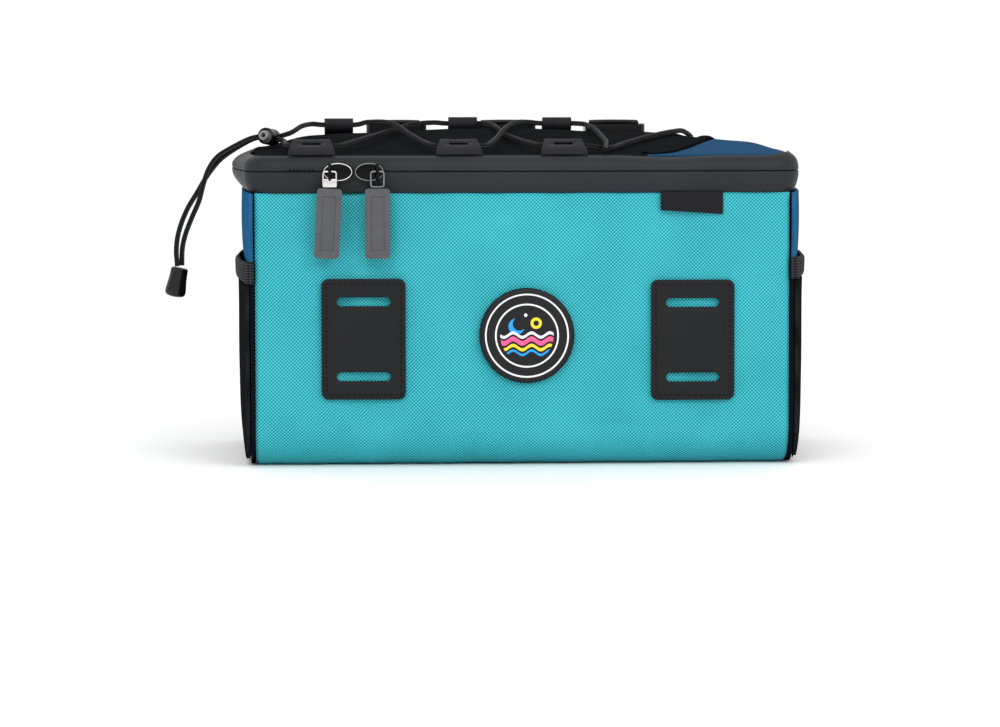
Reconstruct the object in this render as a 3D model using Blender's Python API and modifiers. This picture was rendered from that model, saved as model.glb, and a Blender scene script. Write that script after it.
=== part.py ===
"""Bicycle handlebar bag with a laced lid, side pockets and three mounting straps.

Units are metres. +Z is up, the bag's front looks along -Y and +X is to the right of
someone who faces the front. The origin is under the middle of the bag, on its base.
"""
import math

import bmesh
import bpy
import numpy as np
from mathutils import Matrix, Vector

# Main bag
FRONT_WIDTH = 0.2665
DEPTH = 0.124
PANEL_HEIGHT = 0.1375
WALL = 0.0022
GAP = 0.0003
FRONT_LEAN = 0.0045
FRONT_BOW = 0.0015
BASE_RADIUS_FRONT = 0.020
BASE_RADIUS_BACK = 0.012
BACK_SEAM_HEIGHT = 0.018
SIDE_SWELL = 0.0042
SIDE_ROUNDNESS = 0.6

# Zip band round the top
BAND_HEIGHT = 0.0175
BAND_WALL = 0.0025
BAND_ROLL = 0.0030
BAND_CORNER = 0.010
BAND_SIDE_SWELL = 0.0030
LEFT_SLUMP = 0.0036
ZIP_HEIGHT_SHARE = 0.56

# Lid
LID_WALL = 0.0020
LID_RISE = 0.0102
LID_CORNER = 0.014
LID_INSET = 0.0036
SEAM_FRONT_X = 0.061
SEAM_REAR_X = 0.1125

# Side pockets
POCKET_HEIGHT = 0.0930
POCKET_WALL = 0.0014
POCKET_ROOM = 0.0049
POCKET_FOOT = 0.004
SIDE_FOOT = 0.0006
HEM_HEIGHT = 0.0135
HEM_WALL = 0.0020

# Pieces on the front
PATCH_WIDTH = 0.0418
PATCH_HEIGHT = 0.0600
PATCH_CORNER = 0.0035
PATCH_WALL = 0.0018
PATCH_SLOT_WIDTH = 0.0268
PATCH_SLOT_HEIGHT = 0.0044
PATCH_SLOT_RISE = 0.0186
# Shares of HALF_WIDTH and PANEL_HEIGHT
PATCH_SHARES = {"left": (-0.59662, 0.46909), "right": (0.63415, 0.46182)}
BADGE_RADIUS = 0.0237
BADGE_WALL = 0.0024
BADGE_RIM = 0.0016
BADGE_RIM_WIDTH = 0.0030
BADGE_SHARES = (0.01201, 0.48)
LABEL_WIDTH = 0.0312
LABEL_HEIGHT = 0.0092
LABEL_WALL = 0.0008
LABEL_SHARE = 0.6309

# Zip sliders and their pulls
SLIDER_LENGTH = 0.0150
SLIDER_HEIGHT = 0.0095
SLIDER_WALL = 0.0024
SLIDER_LEFT_SHARE = -0.69043
SLIDER_SPACE = 0.0005
BRIDGE_OFFSET = 0.0040
BRIDGE_WIDTH = 0.0036
BRIDGE_RISE = 0.0034
BRIDGE_BAR = 0.0012
BRIDGE_POST = 0.0016
LINK_WIDTH = 0.0076
LINK_HEIGHT = 0.0086
LINK_WALL = 0.0014
TAB_WIDTH = 0.0123
TAB_HEIGHT = 0.0345
TAB_WALL = 0.0030
TAB_CORNER = 0.0016
TAB_TILT = {"left": math.radians(3.0), "right": 0.0}
LINK_CLEARANCE = 0.0004

# Lacing tabs on the lid
TAB_CLOTH = 0.0012
CORD_DIAMETER = 0.0026
FOLD_RADIUS = 0.0034
LACE_TAB_LENGTH = 0.0170
FRONT_TAB_SLOPE = math.radians(25.0)
FRONT_TAB_BASE_WIDTH = 0.0236
FRONT_TAB_TIP_WIDTH = 0.0176
FRONT_TAB_SLOT = (0.0100, 0.0026)
FRONT_TAB_SHARES = (-0.7692, -0.2289, 0.1726)
REAR_TAB_SLOPE = math.radians(47.0)
REAR_TAB_WIDTH = 0.0150
REAR_TAB_SHARES = (-0.6792, -0.1914, 0.1801)
TAB_SEAT = 0.0005
REAR_TAB_INSET = 0.0035

# Cord lock and cord end
LOCK_SHARES = (-0.9493, 0.6022, -0.216)
LOCK_AXIS = Vector((-0.403, -0.907, 0.121)).normalized()
LOCK_RADIUS = 0.0043
LOCK_LENGTH = 0.0110
LOCK_BORE = 0.0035
LOCK_BORE_DEPTH = 0.0065
BUTTON_RADIUS = 0.0032
BUTTON_LENGTH = 0.0070
BUTTON_STICK_OUT = 0.0032
BUTTON_HOLE = 0.0015
CORD_END_TOP_RADIUS = 0.0044
CORD_END_RADIUS = 0.0055
CORD_END_LENGTH = 0.0150
CORD_END_SHARES = (-1.2923, 0.4120, -6.530)
CORD_END_TILT = math.radians(11.0)

# Mounting straps
LOOP_CLEAR_RADIUS = 0.0170
WEBBING_WIDTH = 0.0250
WEBBING_WALL = 0.0020
STRAP_SPACING = 0.0585
STRAP_MIDDLE_X = -0.0010
LOOP_RISE = 0.0053
BUCKLE_WIDTH = 0.0320
BUCKLE_LENGTH = 0.0200
BUCKLE_WALL = 0.0046
BUCKLE_SLOT = 0.0034
BUCKLE_CORNER = 0.0030
TAIL_RISE = 0.0006

# Hand-chosen routes of the cord strands: share of HALF_WIDTH, share of the way from the
# front tabs' folds to the rear ones, rise over the line between them in shares of LID_RISE
LACE_LEFT_SHARES = [
    (-0.9036, 0.5970, -0.172), (-0.8630, 0.6445, -0.044), (-0.8255, 0.8136, 0.072),
    (-0.7850, 0.9563, 0.033), (-0.7490, 0.9964, -0.049), (-0.6792, 0.9985, -0.060),
    (-0.6094, 0.9964, -0.049), (-0.5629, 0.9298, 0.153), (-0.4765, 0.7291, 0.318),
    (-0.4090, 0.4754, 0.016), (-0.3572, 0.1795, -0.056), (-0.3340, 0.0527, -0.020),
    (-0.3114, 0.0030, -0.009), (-0.2289, 0.0009, -0.007), (-0.1561, 0.0030, -0.009),
    (-0.1246, 0.0633, -0.029), (-0.0826, 0.3275, -0.000), (-0.0390, 0.5811, 0.223),
    (0.0120, 0.8136, 0.248), (0.0675, 0.9510, 0.116), (0.1111, 0.9964, 0.010),
    (0.1801, 0.9985, -0.001), (0.2492, 0.9964, 0.000), (0.2912, 0.9193, 0.024),
    (0.3122, 0.7291, 0.023), (0.3242, 0.5177, -0.039), (0.3287, 0.2429, -0.029),
    (0.3242, 0.0950, 0.082), (0.3122, -0.0530, -0.032), (0.3107, -0.0910, -0.099)]
LACE_RIGHT_SHARES = [
    (-0.9156, 0.5610, -0.290), (-0.8916, 0.4754, -0.298), (-0.8871, 0.2641, -0.193),
    (-0.8795, 0.0844, -0.056), (-0.8435, 0.0041, -0.010), (-0.7692, 0.0009, -0.007),
    (-0.6949, 0.0041, -0.010), (-0.6529, 0.1161, -0.023), (-0.5478, 0.4754, -0.033),
    (-0.4765, 0.6868, -0.020), (-0.3977, 0.8770, 0.079), (-0.3114, 0.9721, 0.079),
    (-0.2612, 0.9964, 0.010), (-0.1914, 0.9985, -0.001), (-0.1216, 0.9964, 0.010),
    (-0.0841, 0.8770, 0.079), (-0.0645, 0.7291, 0.053), (-0.0390, 0.5811, -0.100),
    (0.0060, 0.3275, -0.108), (0.0450, 0.1372, -0.060), (0.0675, 0.0421, -0.021),
    (0.1006, 0.0030, -0.009), (0.1726, 0.0009, -0.007), (0.2462, 0.0041, -0.020),
    (0.2927, 0.0443, -0.151), (0.3490, 0.1372, -0.263), (0.3932, 0.2852, -0.282),
    (0.4398, 0.4120, -0.266), (0.4878, 0.5230, -0.239), (0.5366, 0.6181, -0.209),
    (0.5854, 0.7132, -0.188), (0.6304, 0.8083, -0.212), (0.6664, 0.9034, -0.279),
    (0.6934, 0.9880, -0.482), (0.7174, 1.0725, -0.767)]
TAIL_OUTER_SHARES = [
    (-0.9786, 0.6445, -0.280), (-1.0161, 0.6551, -0.406), (-1.0769, 0.6403, -0.825),
    (-1.1377, 0.6128, -1.362), (-1.1857, 0.5811, -2.091), (-1.2263, 0.5431, -2.932),
    (-1.2668, 0.4944, -3.784), (-1.2953, 0.4479, -4.746), (-1.3051, 0.4120, -5.599),
    (-1.3013, 0.3972, -6.391)]
TAIL_INNER_SHARES = [
    (-0.9876, 0.6086, -0.211), (-1.0251, 0.6170, -0.336), (-1.0844, 0.6065, -0.700),
    (-1.1467, 0.5811, -1.169), (-1.1812, 0.5515, -1.753), (-1.2023, 0.5198, -2.491),
    (-1.2188, 0.4860, -3.287), (-1.2473, 0.4585, -4.127), (-1.2698, 0.4374, -4.875),
    (-1.2826, 0.4268, -5.592), (-1.2848, 0.4268, -6.405)]
CORD_STEP = 0.0068
ROUTE_FINENESS = 24

# How finely each form is divided
PANEL_COLUMNS = 13
FRONT_ROWS = 6
FRONT_CORNER_STEPS = 6
BACK_CORNER_STEPS = 4
BACK_PANEL_GRID = 5
END_COLUMNS = 11
END_CORNER_STEPS = 4
BAND_FRONT_STEPS = 10
BAND_BACK_STEPS = 6
BAND_CORNER_STEPS = 4
BAND_SIDE_STEPS = 10
LID_COLUMNS = 14
LID_BLUE_COLUMNS = 6
PLATE_CORNER_STEPS = 4
SLOT_CORNER_STEPS = 3
BUCKLE_SLOT_STEPS = 2
FOLD_STEPS = 6
BADGE_STEPS = 48
LOCK_STEPS = 28
CORD_END_STEPS = 24
LOOP_STEPS = 40
SEAT_STEPS = 20
SHARP_ANGLE = math.radians(40)
WELD = 1e-6

# Share of the lid's half width, share of LID_RISE
LID_ACROSS_SHARES = [
    (-1.0, 0.0), (-0.93, 0.16), (-0.84, 0.52), (-0.70, 0.74), (-0.55, 0.80), (-0.30, 0.96),
    (0.10, 1.0), (0.30, 0.86), (0.45, 0.85), (0.54, 0.80), (0.64, 0.69), (0.725, 0.54),
    (0.80, 0.43), (0.86, 0.36), (0.94, 0.24), (1.0, 0.0)]
# Share of the lid's depth from the front, share of LID_RISE
LID_ALONG_SHARES = [
    (0.0, 0.0), (0.10, 0.02), (0.20, 0.07), (0.35, 0.24), (0.50, 0.48), (0.70, 0.88),
    (0.80, 1.0), (0.88, 0.80), (0.95, 0.42), (1.0, 0.0)]
# Share of the band's height, share of BAND_ROLL
BAND_PROFILE_SHARES = [
    (0.0, 0.10), (0.12, 0.55), (0.38, 1.04), (0.56, 1.06), (0.72, 1.0), (0.90, 0.40),
    (1.0, -0.60)]
# Share of the band's height, share of LEFT_SLUMP
SLUMP_PROFILE_SHARES = [(0.0, 0.0), (0.38, 0.95), (0.56, 1.0), (0.72, 0.97), (0.88, 0.5), (1.0, 0.0)]
# Share of the panel's height, share of SIDE_SWELL
SIDE_PROFILE_SHARES = [
    (0.0, 0.0), (0.15, 0.03), (0.45, 0.06), (0.68, 0.10), (0.775, 0.32), (0.84, 0.86),
    (0.91, 1.0), (1.0, 0.95)]
# Share of the pocket's height, share of POCKET_ROOM
POCKET_PROFILE_SHARES = [(0.0, 0.30), (0.18, 0.75), (0.5, 1.0), (0.85, 1.0), (1.0, 1.0)]
# Rows of the end panels from the hem to the band, as shares of the height between them
ABOVE_HEM_SHARES = (0.25, 0.6, 1.0)
# Rows of the band's rolls, as shares of its height
LOWER_BAND_SHARES = (0.0, 0.12, 0.38)
UPPER_BAND_SHARES = (0.72, 0.88, 1.0)
LID_SWELL_SHARE = 0.8
# The lid's seam bends forward: the power that its share of the depth is raised to
SEAM_BEND_SHARE = 0.7
# Rows of the lid, as shares of its depth
LID_ROW_SHARES = (0.0, 0.015, 0.05, 0.11, 0.2, 0.3, 0.4, 0.5, 0.6, 0.7, 0.79, 0.86, 0.91, 0.95,
                  0.985, 1.0)
# Shares of a badge's rim width and rim height
BADGE_RIM_SHARES = ((1.0, 0.0), (0.85, 0.5), (0.3, 0.5), (0.0, 0.0))
SLIDER_CORNER_SHARE = 0.42
RECESS_WIDTH_SHARE = 0.56
RECESS_HEIGHT_SHARE = 0.78
# Place of the slot along a front tab, and where a fold's return lies flat again
TAB_SLOT_SHARE = 0.56
FOLD_RETURN_SHARE = 0.4
TURNED_EDGE_SHARE = 0.16
BUTTON_HOLLOW_SHARE = 0.7
# Share of CORD_END_RADIUS, share of the cap's length from its top
CORD_END_PROFILE_SHARES = ((0.8, 0.35), (1.0, 0.62), (1.0, 0.80), (0.82, 0.93), (0.5, 1.0))
CORD_END_LIP_SHARE = 0.85
BUCKLE_SLOT_SHARE = 0.22
# Share of the buckle's half length, share of TAIL_RISE
TAIL_TURN_SHARES = ((-0.5, 0.8), (0.0, 1.0), (0.9, 0.8))
TAIL_START_SHARE = -0.9
# Angles round the loop where the strap's end lies on it
TAIL_ANGLES = (38, 19, 0, -19, -38)

COLOURS = {
    "teal_cloth": ((0.010, 0.470, 0.490), 0.75, 0.0),
    "blue_cloth": ((0.008, 0.060, 0.170), 0.75, 0.0),
    "black_cloth": ((0.012, 0.013, 0.015), 0.8, 0.0),
    "coated_black": ((0.014, 0.015, 0.017), 0.45, 0.0),
    "webbing": ((0.010, 0.010, 0.011), 0.85, 0.0),
    "rubber": ((0.085, 0.085, 0.088), 0.65, 0.0),
    "patch_rubber": ((0.022, 0.025, 0.030), 0.6, 0.0),
    "plastic": ((0.012, 0.012, 0.013), 0.35, 0.0),
    "ring_grey": ((0.20, 0.20, 0.20), 0.4, 0.0),
    "black_metal": ((0.015, 0.015, 0.016), 0.3, 0.6),
    "steel": ((0.62, 0.61, 0.59), 0.3, 1.0),
}

HALF_WIDTH = FRONT_WIDTH / 2
HALF_DEPTH = DEPTH / 2
SIDE_FACE = HALF_WIDTH + GAP + WALL
BACK_FACE = HALF_DEPTH + GAP + WALL
BAND_BASE = PANEL_HEIGHT + GAP
BAND_TOP = BAND_BASE + BAND_HEIGHT
ZIP_Z = BAND_BASE + BAND_HEIGHT * ZIP_HEIGHT_SHARE
LOOP_RADIUS = LOOP_CLEAR_RADIUS + WEBBING_WALL
LOOP_HEIGHT = PANEL_HEIGHT + LOOP_RISE
PLACES = ("left", "middle", "right")
BAND_FULLEST = max(row[1] for row in BAND_PROFILE_SHARES)


def clear_scene():
    for item in list(bpy.data.objects):
        bpy.data.objects.remove(item, do_unlink=True)


def new_collection(name):
    made = bpy.data.collections.new(name)
    bpy.context.scene.collection.children.link(made)
    return made


clear_scene()
PARTS = new_collection("handlebar_bag")
CUTTERS = new_collection("cutters")


def material(name):
    found = bpy.data.materials.get(name)
    if found:
        return found
    colour, roughness, metallic = COLOURS[name]
    found = bpy.data.materials.new(name)
    found.use_nodes = True
    shader = found.node_tree.nodes["Principled BSDF"]
    shader.inputs["Base Color"].default_value = (*colour, 1.0)
    shader.inputs["Roughness"].default_value = roughness
    shader.inputs["Metallic"].default_value = metallic
    return found


def smooth_value(table, share):
    """Read a table of (share, value) rows along a smooth curve."""
    keys = [row[0] for row in table]
    values = [row[1] for row in table]
    share = min(max(share, keys[0]), keys[-1])
    slopes = np.gradient(np.array(values), np.array(keys))
    index = min(int(np.searchsorted(keys, share, side="right")) - 1, len(keys) - 2)
    span = keys[index + 1] - keys[index]
    t = (share - keys[index]) / span
    start = (1 + 2 * t) * (1 - t) ** 2 * values[index] + t * (1 - t) ** 2 * span * slopes[index]
    end = t * t * (3 - 2 * t) * values[index + 1] + t * t * (t - 1) * span * slopes[index + 1]
    return float(start + end)


def add_object(name, mesh, slot, location=(0, 0, 0), rotation=None):
    made = bpy.data.objects.new(name, mesh)
    mesh.materials.append(material(slot))
    PARTS.objects.link(made)
    made.parent = ROOT
    turn = rotation.to_4x4() if rotation is not None else Matrix.Identity(4)
    made.matrix_basis = Matrix.Translation(location) @ turn
    return made


def shade(mesh):
    mesh.shade_smooth()
    mesh.set_sharp_from_angle(angle=SHARP_ANGLE)


def mesh_from_bmesh(name, shape):
    mesh = bpy.data.meshes.new(name)
    shape.to_mesh(mesh)
    shape.free()
    shade(mesh)
    return mesh


def cloth_sheet(name, rows, slot, wall, closed=False, flip=False):
    """A wall of even thickness behind the outer surface given as rows of points."""
    shape = bmesh.new()
    grid = [[shape.verts.new(point) for point in row] for row in rows]
    count = len(rows[0])
    for low, high in zip(grid, grid[1:]):
        for i in range(count if closed else count - 1):
            j = (i + 1) % count
            corners = (low[i], low[j], high[j], high[i])
            shape.faces.new(corners[::-1] if flip else corners)
    made = add_object(name, mesh_from_bmesh(name, shape), slot)
    shell = made.modifiers.new("wall", "SOLIDIFY")
    shell.thickness = wall
    shell.offset = -1.0
    shell.use_even_offset = True
    return made


def flat_plate(name, outlines, thickness, slot, location, rotation):
    """A plate in its own XY plane from closed outlines; inner outlines are holes."""
    data = bpy.data.curves.new(name, "CURVE")
    data.dimensions = "2D"
    data.fill_mode = "BOTH"
    data.extrude = thickness / 2
    for outline in outlines:
        spline = data.splines.new("POLY")
        spline.points.add(len(outline) - 1)
        for point, (x, y) in zip(spline.points, outline):
            point.co = (x, y, 0, 1)
        spline.use_cyclic_u = True
    carrier = bpy.data.objects.new(name + "_outline", data)
    CUTTERS.objects.link(carrier)
    mesh = mesh_of(carrier)
    return add_object(name, mesh, slot, location, rotation)


def mesh_of(item):
    """A welded mesh of a curve object, which is then removed."""
    bpy.context.view_layer.update()
    evaluated = item.evaluated_get(bpy.context.evaluated_depsgraph_get())
    mesh = bpy.data.meshes.new_from_object(evaluated)
    bpy.data.objects.remove(item, do_unlink=True)
    shape = bmesh.new()
    shape.from_mesh(mesh)
    bmesh.ops.remove_doubles(shape, verts=shape.verts, dist=WELD)
    shape.to_mesh(mesh)
    shape.free()
    mesh.materials.clear()
    shade(mesh)
    return mesh


def rounded_outline(width, height, radius, steps=PLATE_CORNER_STEPS):
    points = []
    for turn in range(4):
        centre_x = (width / 2 - radius) * (1 if turn in (0, 3) else -1)
        centre_y = (height / 2 - radius) * (1 if turn in (0, 1) else -1)
        for step in range(steps + 1):
            angle = math.pi / 2 * (turn + step / steps)
            points.append((centre_x + radius * math.cos(angle), centre_y + radius * math.sin(angle)))
    return points


def moved(outline, x, y):
    return [(px + x, py + y) for px, py in outline]


def circle_outline(radius, steps):
    return [(radius * math.cos(math.tau * i / steps), radius * math.sin(math.tau * i / steps))
            for i in range(steps)]


def box_shape(size, centre=(0, 0, 0)):
    shape = bmesh.new()
    bmesh.ops.create_cube(shape, size=1.0)
    bmesh.ops.scale(shape, vec=size, verts=shape.verts)
    bmesh.ops.translate(shape, vec=centre, verts=shape.verts)
    return shape


def cutter_from(name, shape, target):
    mesh = bpy.data.meshes.new(name)
    shape.to_mesh(mesh)
    shape.free()
    cutter = bpy.data.objects.new(name, mesh)
    CUTTERS.objects.link(cutter)
    cutter.hide_render = True
    cutter.display_type = "WIRE"
    cutter.parent = target
    return cutter


def combine(target, name, shape, operation):
    step = target.modifiers.new(name, "BOOLEAN")
    step.operation = operation
    step.object = cutter_from(name, shape, target)
    step.solver = "EXACT"


# The whole bag hangs from this empty, which centres it over the origin
ROOT = bpy.data.objects.new("bag_root", None)
PARTS.objects.link(ROOT)


# Front, base and back profile
def front_face(x, z):
    """Y of the main panel's outer face at a place on the front."""
    lean = FRONT_LEAN * (1 - z / PANEL_HEIGHT)
    return -HALF_DEPTH - lean - FRONT_BOW * (1 - (x / HALF_WIDTH) ** 2)


FRONT_TANGENT_Y = front_face(HALF_WIDTH, BASE_RADIUS_FRONT)
FRONT_TILT = math.atan(FRONT_LEAN / PANEL_HEIGHT)


def panel_profile():
    """(y, z, bow share) down the front, under the base and up the back."""
    rows = []
    for step in range(FRONT_ROWS):
        z = PANEL_HEIGHT + (BASE_RADIUS_FRONT - PANEL_HEIGHT) * step / FRONT_ROWS
        rows.append((front_face(HALF_WIDTH, z), z, 1.0))
    for step in range(FRONT_CORNER_STEPS + 1):
        angle = math.pi / 2 * step / FRONT_CORNER_STEPS
        rows.append((FRONT_TANGENT_Y + BASE_RADIUS_FRONT * (1 - math.cos(angle)),
                     BASE_RADIUS_FRONT * (1 - math.sin(angle)), math.cos(angle)))
    for step in range(BACK_CORNER_STEPS + 1):
        angle = math.pi / 2 * step / BACK_CORNER_STEPS
        rows.append((HALF_DEPTH - BASE_RADIUS_BACK * (1 - math.sin(angle)),
                     BASE_RADIUS_BACK * (1 - math.cos(angle)), 0.0))
    rows.append((HALF_DEPTH, BACK_SEAM_HEIGHT, 0.0))
    return rows


def main_panel():
    """One cloth runs down the front, under the base and a little way up the back."""
    columns = np.linspace(-HALF_WIDTH, HALF_WIDTH, PANEL_COLUMNS)
    rows = [[(x, y - FRONT_BOW * bow * (1 - (x / HALF_WIDTH) ** 2), z) for x in columns]
            for y, z, bow in panel_profile()]
    cloth_sheet("main_panel", rows, "teal_cloth", WALL, flip=True)


def back_panel():
    """The plain back wall, which the strap loops lie against."""
    low = BACK_SEAM_HEIGHT + GAP
    columns = np.linspace(-HALF_WIDTH, HALF_WIDTH, BACK_PANEL_GRID)
    rows = [[(x, HALF_DEPTH, z) for x in columns]
            for z in np.linspace(low, PANEL_HEIGHT, BACK_PANEL_GRID)]
    cloth_sheet("back_panel", rows, "black_cloth", WALL, flip=True)


def end_span(z):
    """Front and back Y of the bag's end at a height, with its rounded lower corners."""
    front = front_face(HALF_WIDTH, z)
    back = HALF_DEPTH
    if z < BASE_RADIUS_FRONT:
        drop = BASE_RADIUS_FRONT - z
        front = FRONT_TANGENT_Y + BASE_RADIUS_FRONT - math.sqrt(BASE_RADIUS_FRONT ** 2 - drop ** 2)
    if z < BASE_RADIUS_BACK:
        drop = BASE_RADIUS_BACK - z
        back = HALF_DEPTH - BASE_RADIUS_BACK + math.sqrt(BASE_RADIUS_BACK ** 2 - drop ** 2)
    return front, back


def swell(share):
    """How far a side stands out, from its front edge to its back edge."""
    return math.sin(math.pi * share) ** SIDE_ROUNDNESS


def end_heights(low, high):
    """Row heights on the ends, shared by the panel, the pocket and its hem."""
    rows = [SIDE_FOOT]
    for step in range(1, END_CORNER_STEPS + 1):
        rows.append(BASE_RADIUS_FRONT * (1 - math.cos(math.pi / 2 * step / END_CORNER_STEPS)))
    middle = (BASE_RADIUS_FRONT + POCKET_HEIGHT) / 2
    hem_top = POCKET_HEIGHT + HEM_HEIGHT
    rows += [middle, POCKET_HEIGHT, POCKET_HEIGHT + HEM_HEIGHT / 2, hem_top]
    rows += [hem_top + (PANEL_HEIGHT - hem_top) * share for share in ABOVE_HEM_SHARES]
    return [z for z in rows if low <= z <= high]


def side_face(z):
    return SIDE_SWELL * smooth_value(SIDE_PROFILE_SHARES, z / PANEL_HEIGHT)


def end_row(z, base, room, sign):
    front, back = end_span(z)
    last = END_COLUMNS - 1
    shares = [(1 - math.cos(math.pi * i / last)) / 2 for i in range(END_COLUMNS)]
    return [(sign * (base + room * swell(share)), front + (back - front) * share, z)
            for share in shares]


def side_panel(side, sign):
    """A ribbed end panel, sewn round the edge of the main panel."""
    rows = [end_row(z, SIDE_FACE, side_face(z), sign) for z in end_heights(0.0, PANEL_HEIGHT)]
    cloth_sheet("side_panel_" + side, rows, "blue_cloth", WALL, flip=sign < 0)


def pocket_room(z):
    return side_face(z) + POCKET_ROOM * smooth_value(POCKET_PROFILE_SHARES, z / POCKET_HEIGHT)


def side_pocket(side, sign):
    """An open-topped pocket on the end panel, with a wide elastic hem at its mouth."""
    base = SIDE_FACE + GAP * 2 + POCKET_WALL
    heights = end_heights(POCKET_FOOT, POCKET_HEIGHT)
    rows = [end_row(z, base, pocket_room(z), sign) for z in heights]
    cloth_sheet("side_pocket_" + side, rows, "black_cloth", POCKET_WALL, flip=sign < 0)
    low = POCKET_HEIGHT + GAP * 2
    high = POCKET_HEIGHT + HEM_HEIGHT
    hem_base = base + HEM_WALL - POCKET_WALL
    rows = []
    for z in (low, (low + high) / 2, high):
        rows.append(end_row(z, hem_base, side_face(z) + POCKET_ROOM, sign))
    cloth_sheet("pocket_hem_" + side, rows, "black_cloth", HEM_WALL, flip=sign < 0)


def band_ring(height_share):
    """Plan of the band at a share of its height, anticlockwise from the front left."""
    offset = BAND_ROLL * smooth_value(BAND_PROFILE_SHARES, height_share)
    half_w = SIDE_FACE + offset
    front = HALF_DEPTH + offset
    back = BACK_FACE + offset
    corner = BAND_CORNER + offset
    slump = LEFT_SLUMP * smooth_value(SLUMP_PROFILE_SHARES, height_share)
    points = []
    for i in range(BAND_FRONT_STEPS):
        x = (half_w - corner) * (2 * i / BAND_FRONT_STEPS - 1)
        points.append((x, -front - FRONT_BOW * (1 - (x / HALF_WIDTH) ** 2)))
    points += arc_points(half_w - corner, -front + corner, corner, -90)
    points += side_points(half_w, -front + corner, back - corner, BAND_SIDE_SWELL, 1)
    points += arc_points(half_w - corner, back - corner, corner, 0)
    for i in range(BAND_BACK_STEPS):
        points.append(((half_w - corner) * (1 - 2 * i / BAND_BACK_STEPS), back))
    points += arc_points(-half_w + corner, back - corner, corner, 90)
    points += side_points(half_w, back - corner, -front + corner, BAND_SIDE_SWELL + slump, -1)
    points += arc_points(-half_w + corner, -front + corner, corner, 180)
    z = BAND_BASE + BAND_HEIGHT * height_share
    return [(x, y, z) for x, y in points]


def arc_points(x, y, radius, start):
    angles = [math.radians(start + 90 * i / BAND_CORNER_STEPS) for i in range(BAND_CORNER_STEPS)]
    return [(x + radius * math.cos(a), y + radius * math.sin(a)) for a in angles]


def side_points(half_w, start, end, bow, sign):
    shares = [i / BAND_SIDE_STEPS for i in range(BAND_SIDE_STEPS)]
    return [(sign * (half_w + bow * math.sin(math.pi * share)), start + (end - start) * share)
            for share in shares]


def zip_band():
    """The coated band in two rolls, below and above the zip line."""
    joint = GAP / BAND_HEIGHT
    lower = [*LOWER_BAND_SHARES, ZIP_HEIGHT_SHARE - joint]
    upper = [ZIP_HEIGHT_SHARE + joint, *UPPER_BAND_SHARES]
    for name, shares in (("zip_band_lower", lower), ("zip_band_upper", upper)):
        cloth_sheet(name, [band_ring(share) for share in shares], "coated_black", BAND_WALL,
                    closed=True)


LID_HALF_DEPTH_FRONT = HALF_DEPTH - LID_INSET
LID_HALF_DEPTH_BACK = BACK_FACE - LID_INSET
LID_DEPTH = LID_HALF_DEPTH_FRONT + LID_HALF_DEPTH_BACK
LID_HALF_WIDTH = SIDE_FACE - LID_INSET
LID_SIDE_SWELL = BAND_SIDE_SWELL * LID_SWELL_SHARE
LID_EDGE = BAND_TOP + GAP


def lid_height(x, y):
    along = (y + LID_HALF_DEPTH_FRONT) / LID_DEPTH
    across = x / (LID_HALF_WIDTH + BAND_SIDE_SWELL)
    rise = smooth_value(LID_ALONG_SHARES, along) * smooth_value(LID_ACROSS_SHARES, across)
    return LID_EDGE + LID_RISE * rise


def lid_reach(share):
    """Half width of the lid at a share of its depth, with round corners."""
    end = min(share, 1 - share) * LID_DEPTH
    corner = 0.0
    if end < LID_CORNER:
        corner = LID_CORNER - math.sqrt(LID_CORNER ** 2 - (LID_CORNER - end) ** 2)
    return LID_HALF_WIDTH + LID_SIDE_SWELL * math.sin(math.pi * share) - corner


def lid_panels():
    """Black cloth with a blue corner panel, joined along a slanting seam."""
    black = []
    blue = []
    for share in LID_ROW_SHARES:
        y = -LID_HALF_DEPTH_FRONT + LID_DEPTH * share
        reach = lid_reach(share)
        seam = SEAM_FRONT_X + (SEAM_REAR_X - SEAM_FRONT_X) * share ** SEAM_BEND_SHARE
        black_x = np.linspace(-reach, seam - GAP / 2, LID_COLUMNS + 1)
        blue_x = np.linspace(seam + GAP, reach, LID_BLUE_COLUMNS + 1)
        black.append([(x, y, lid_height(x, y)) for x in black_x])
        blue.append([(x, y, lid_height(x, y)) for x in blue_x])
    cloth_sheet("lid_panel", black, "black_cloth", LID_WALL)
    cloth_sheet("lid_panel_blue", blue, "blue_cloth", LID_WALL)


# Pieces on the front
def front_seat(shares, lift):
    """Place and turn of a flat piece whose back lies just off the front panel."""
    x = HALF_WIDTH * shares[0]
    z = PANEL_HEIGHT * shares[1]
    turn = Matrix.Rotation(math.pi / 2 - FRONT_TILT, 3, "X")
    place = Vector((x, front_face(x, z) - lift, z))
    slope = math.atan(2 * FRONT_BOW * x / HALF_WIDTH ** 2)
    return place, Matrix.Rotation(slope, 3, "Z") @ turn


def slotted_patch(side):
    """A stiff patch with two slots that a strap can be threaded through."""
    place, turn = front_seat(PATCH_SHARES[side], GAP * 2 + PATCH_WALL / 2)
    slot = rounded_outline(PATCH_SLOT_WIDTH, PATCH_SLOT_HEIGHT, PATCH_SLOT_HEIGHT / 3,
                           SLOT_CORNER_STEPS)
    outlines = [rounded_outline(PATCH_WIDTH, PATCH_HEIGHT, PATCH_CORNER)]
    outlines += [moved(slot, 0, rise) for rise in (PATCH_SLOT_RISE, -PATCH_SLOT_RISE)]
    flat_plate("patch_" + side, outlines, PATCH_WALL, "patch_rubber", place, turn)


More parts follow.
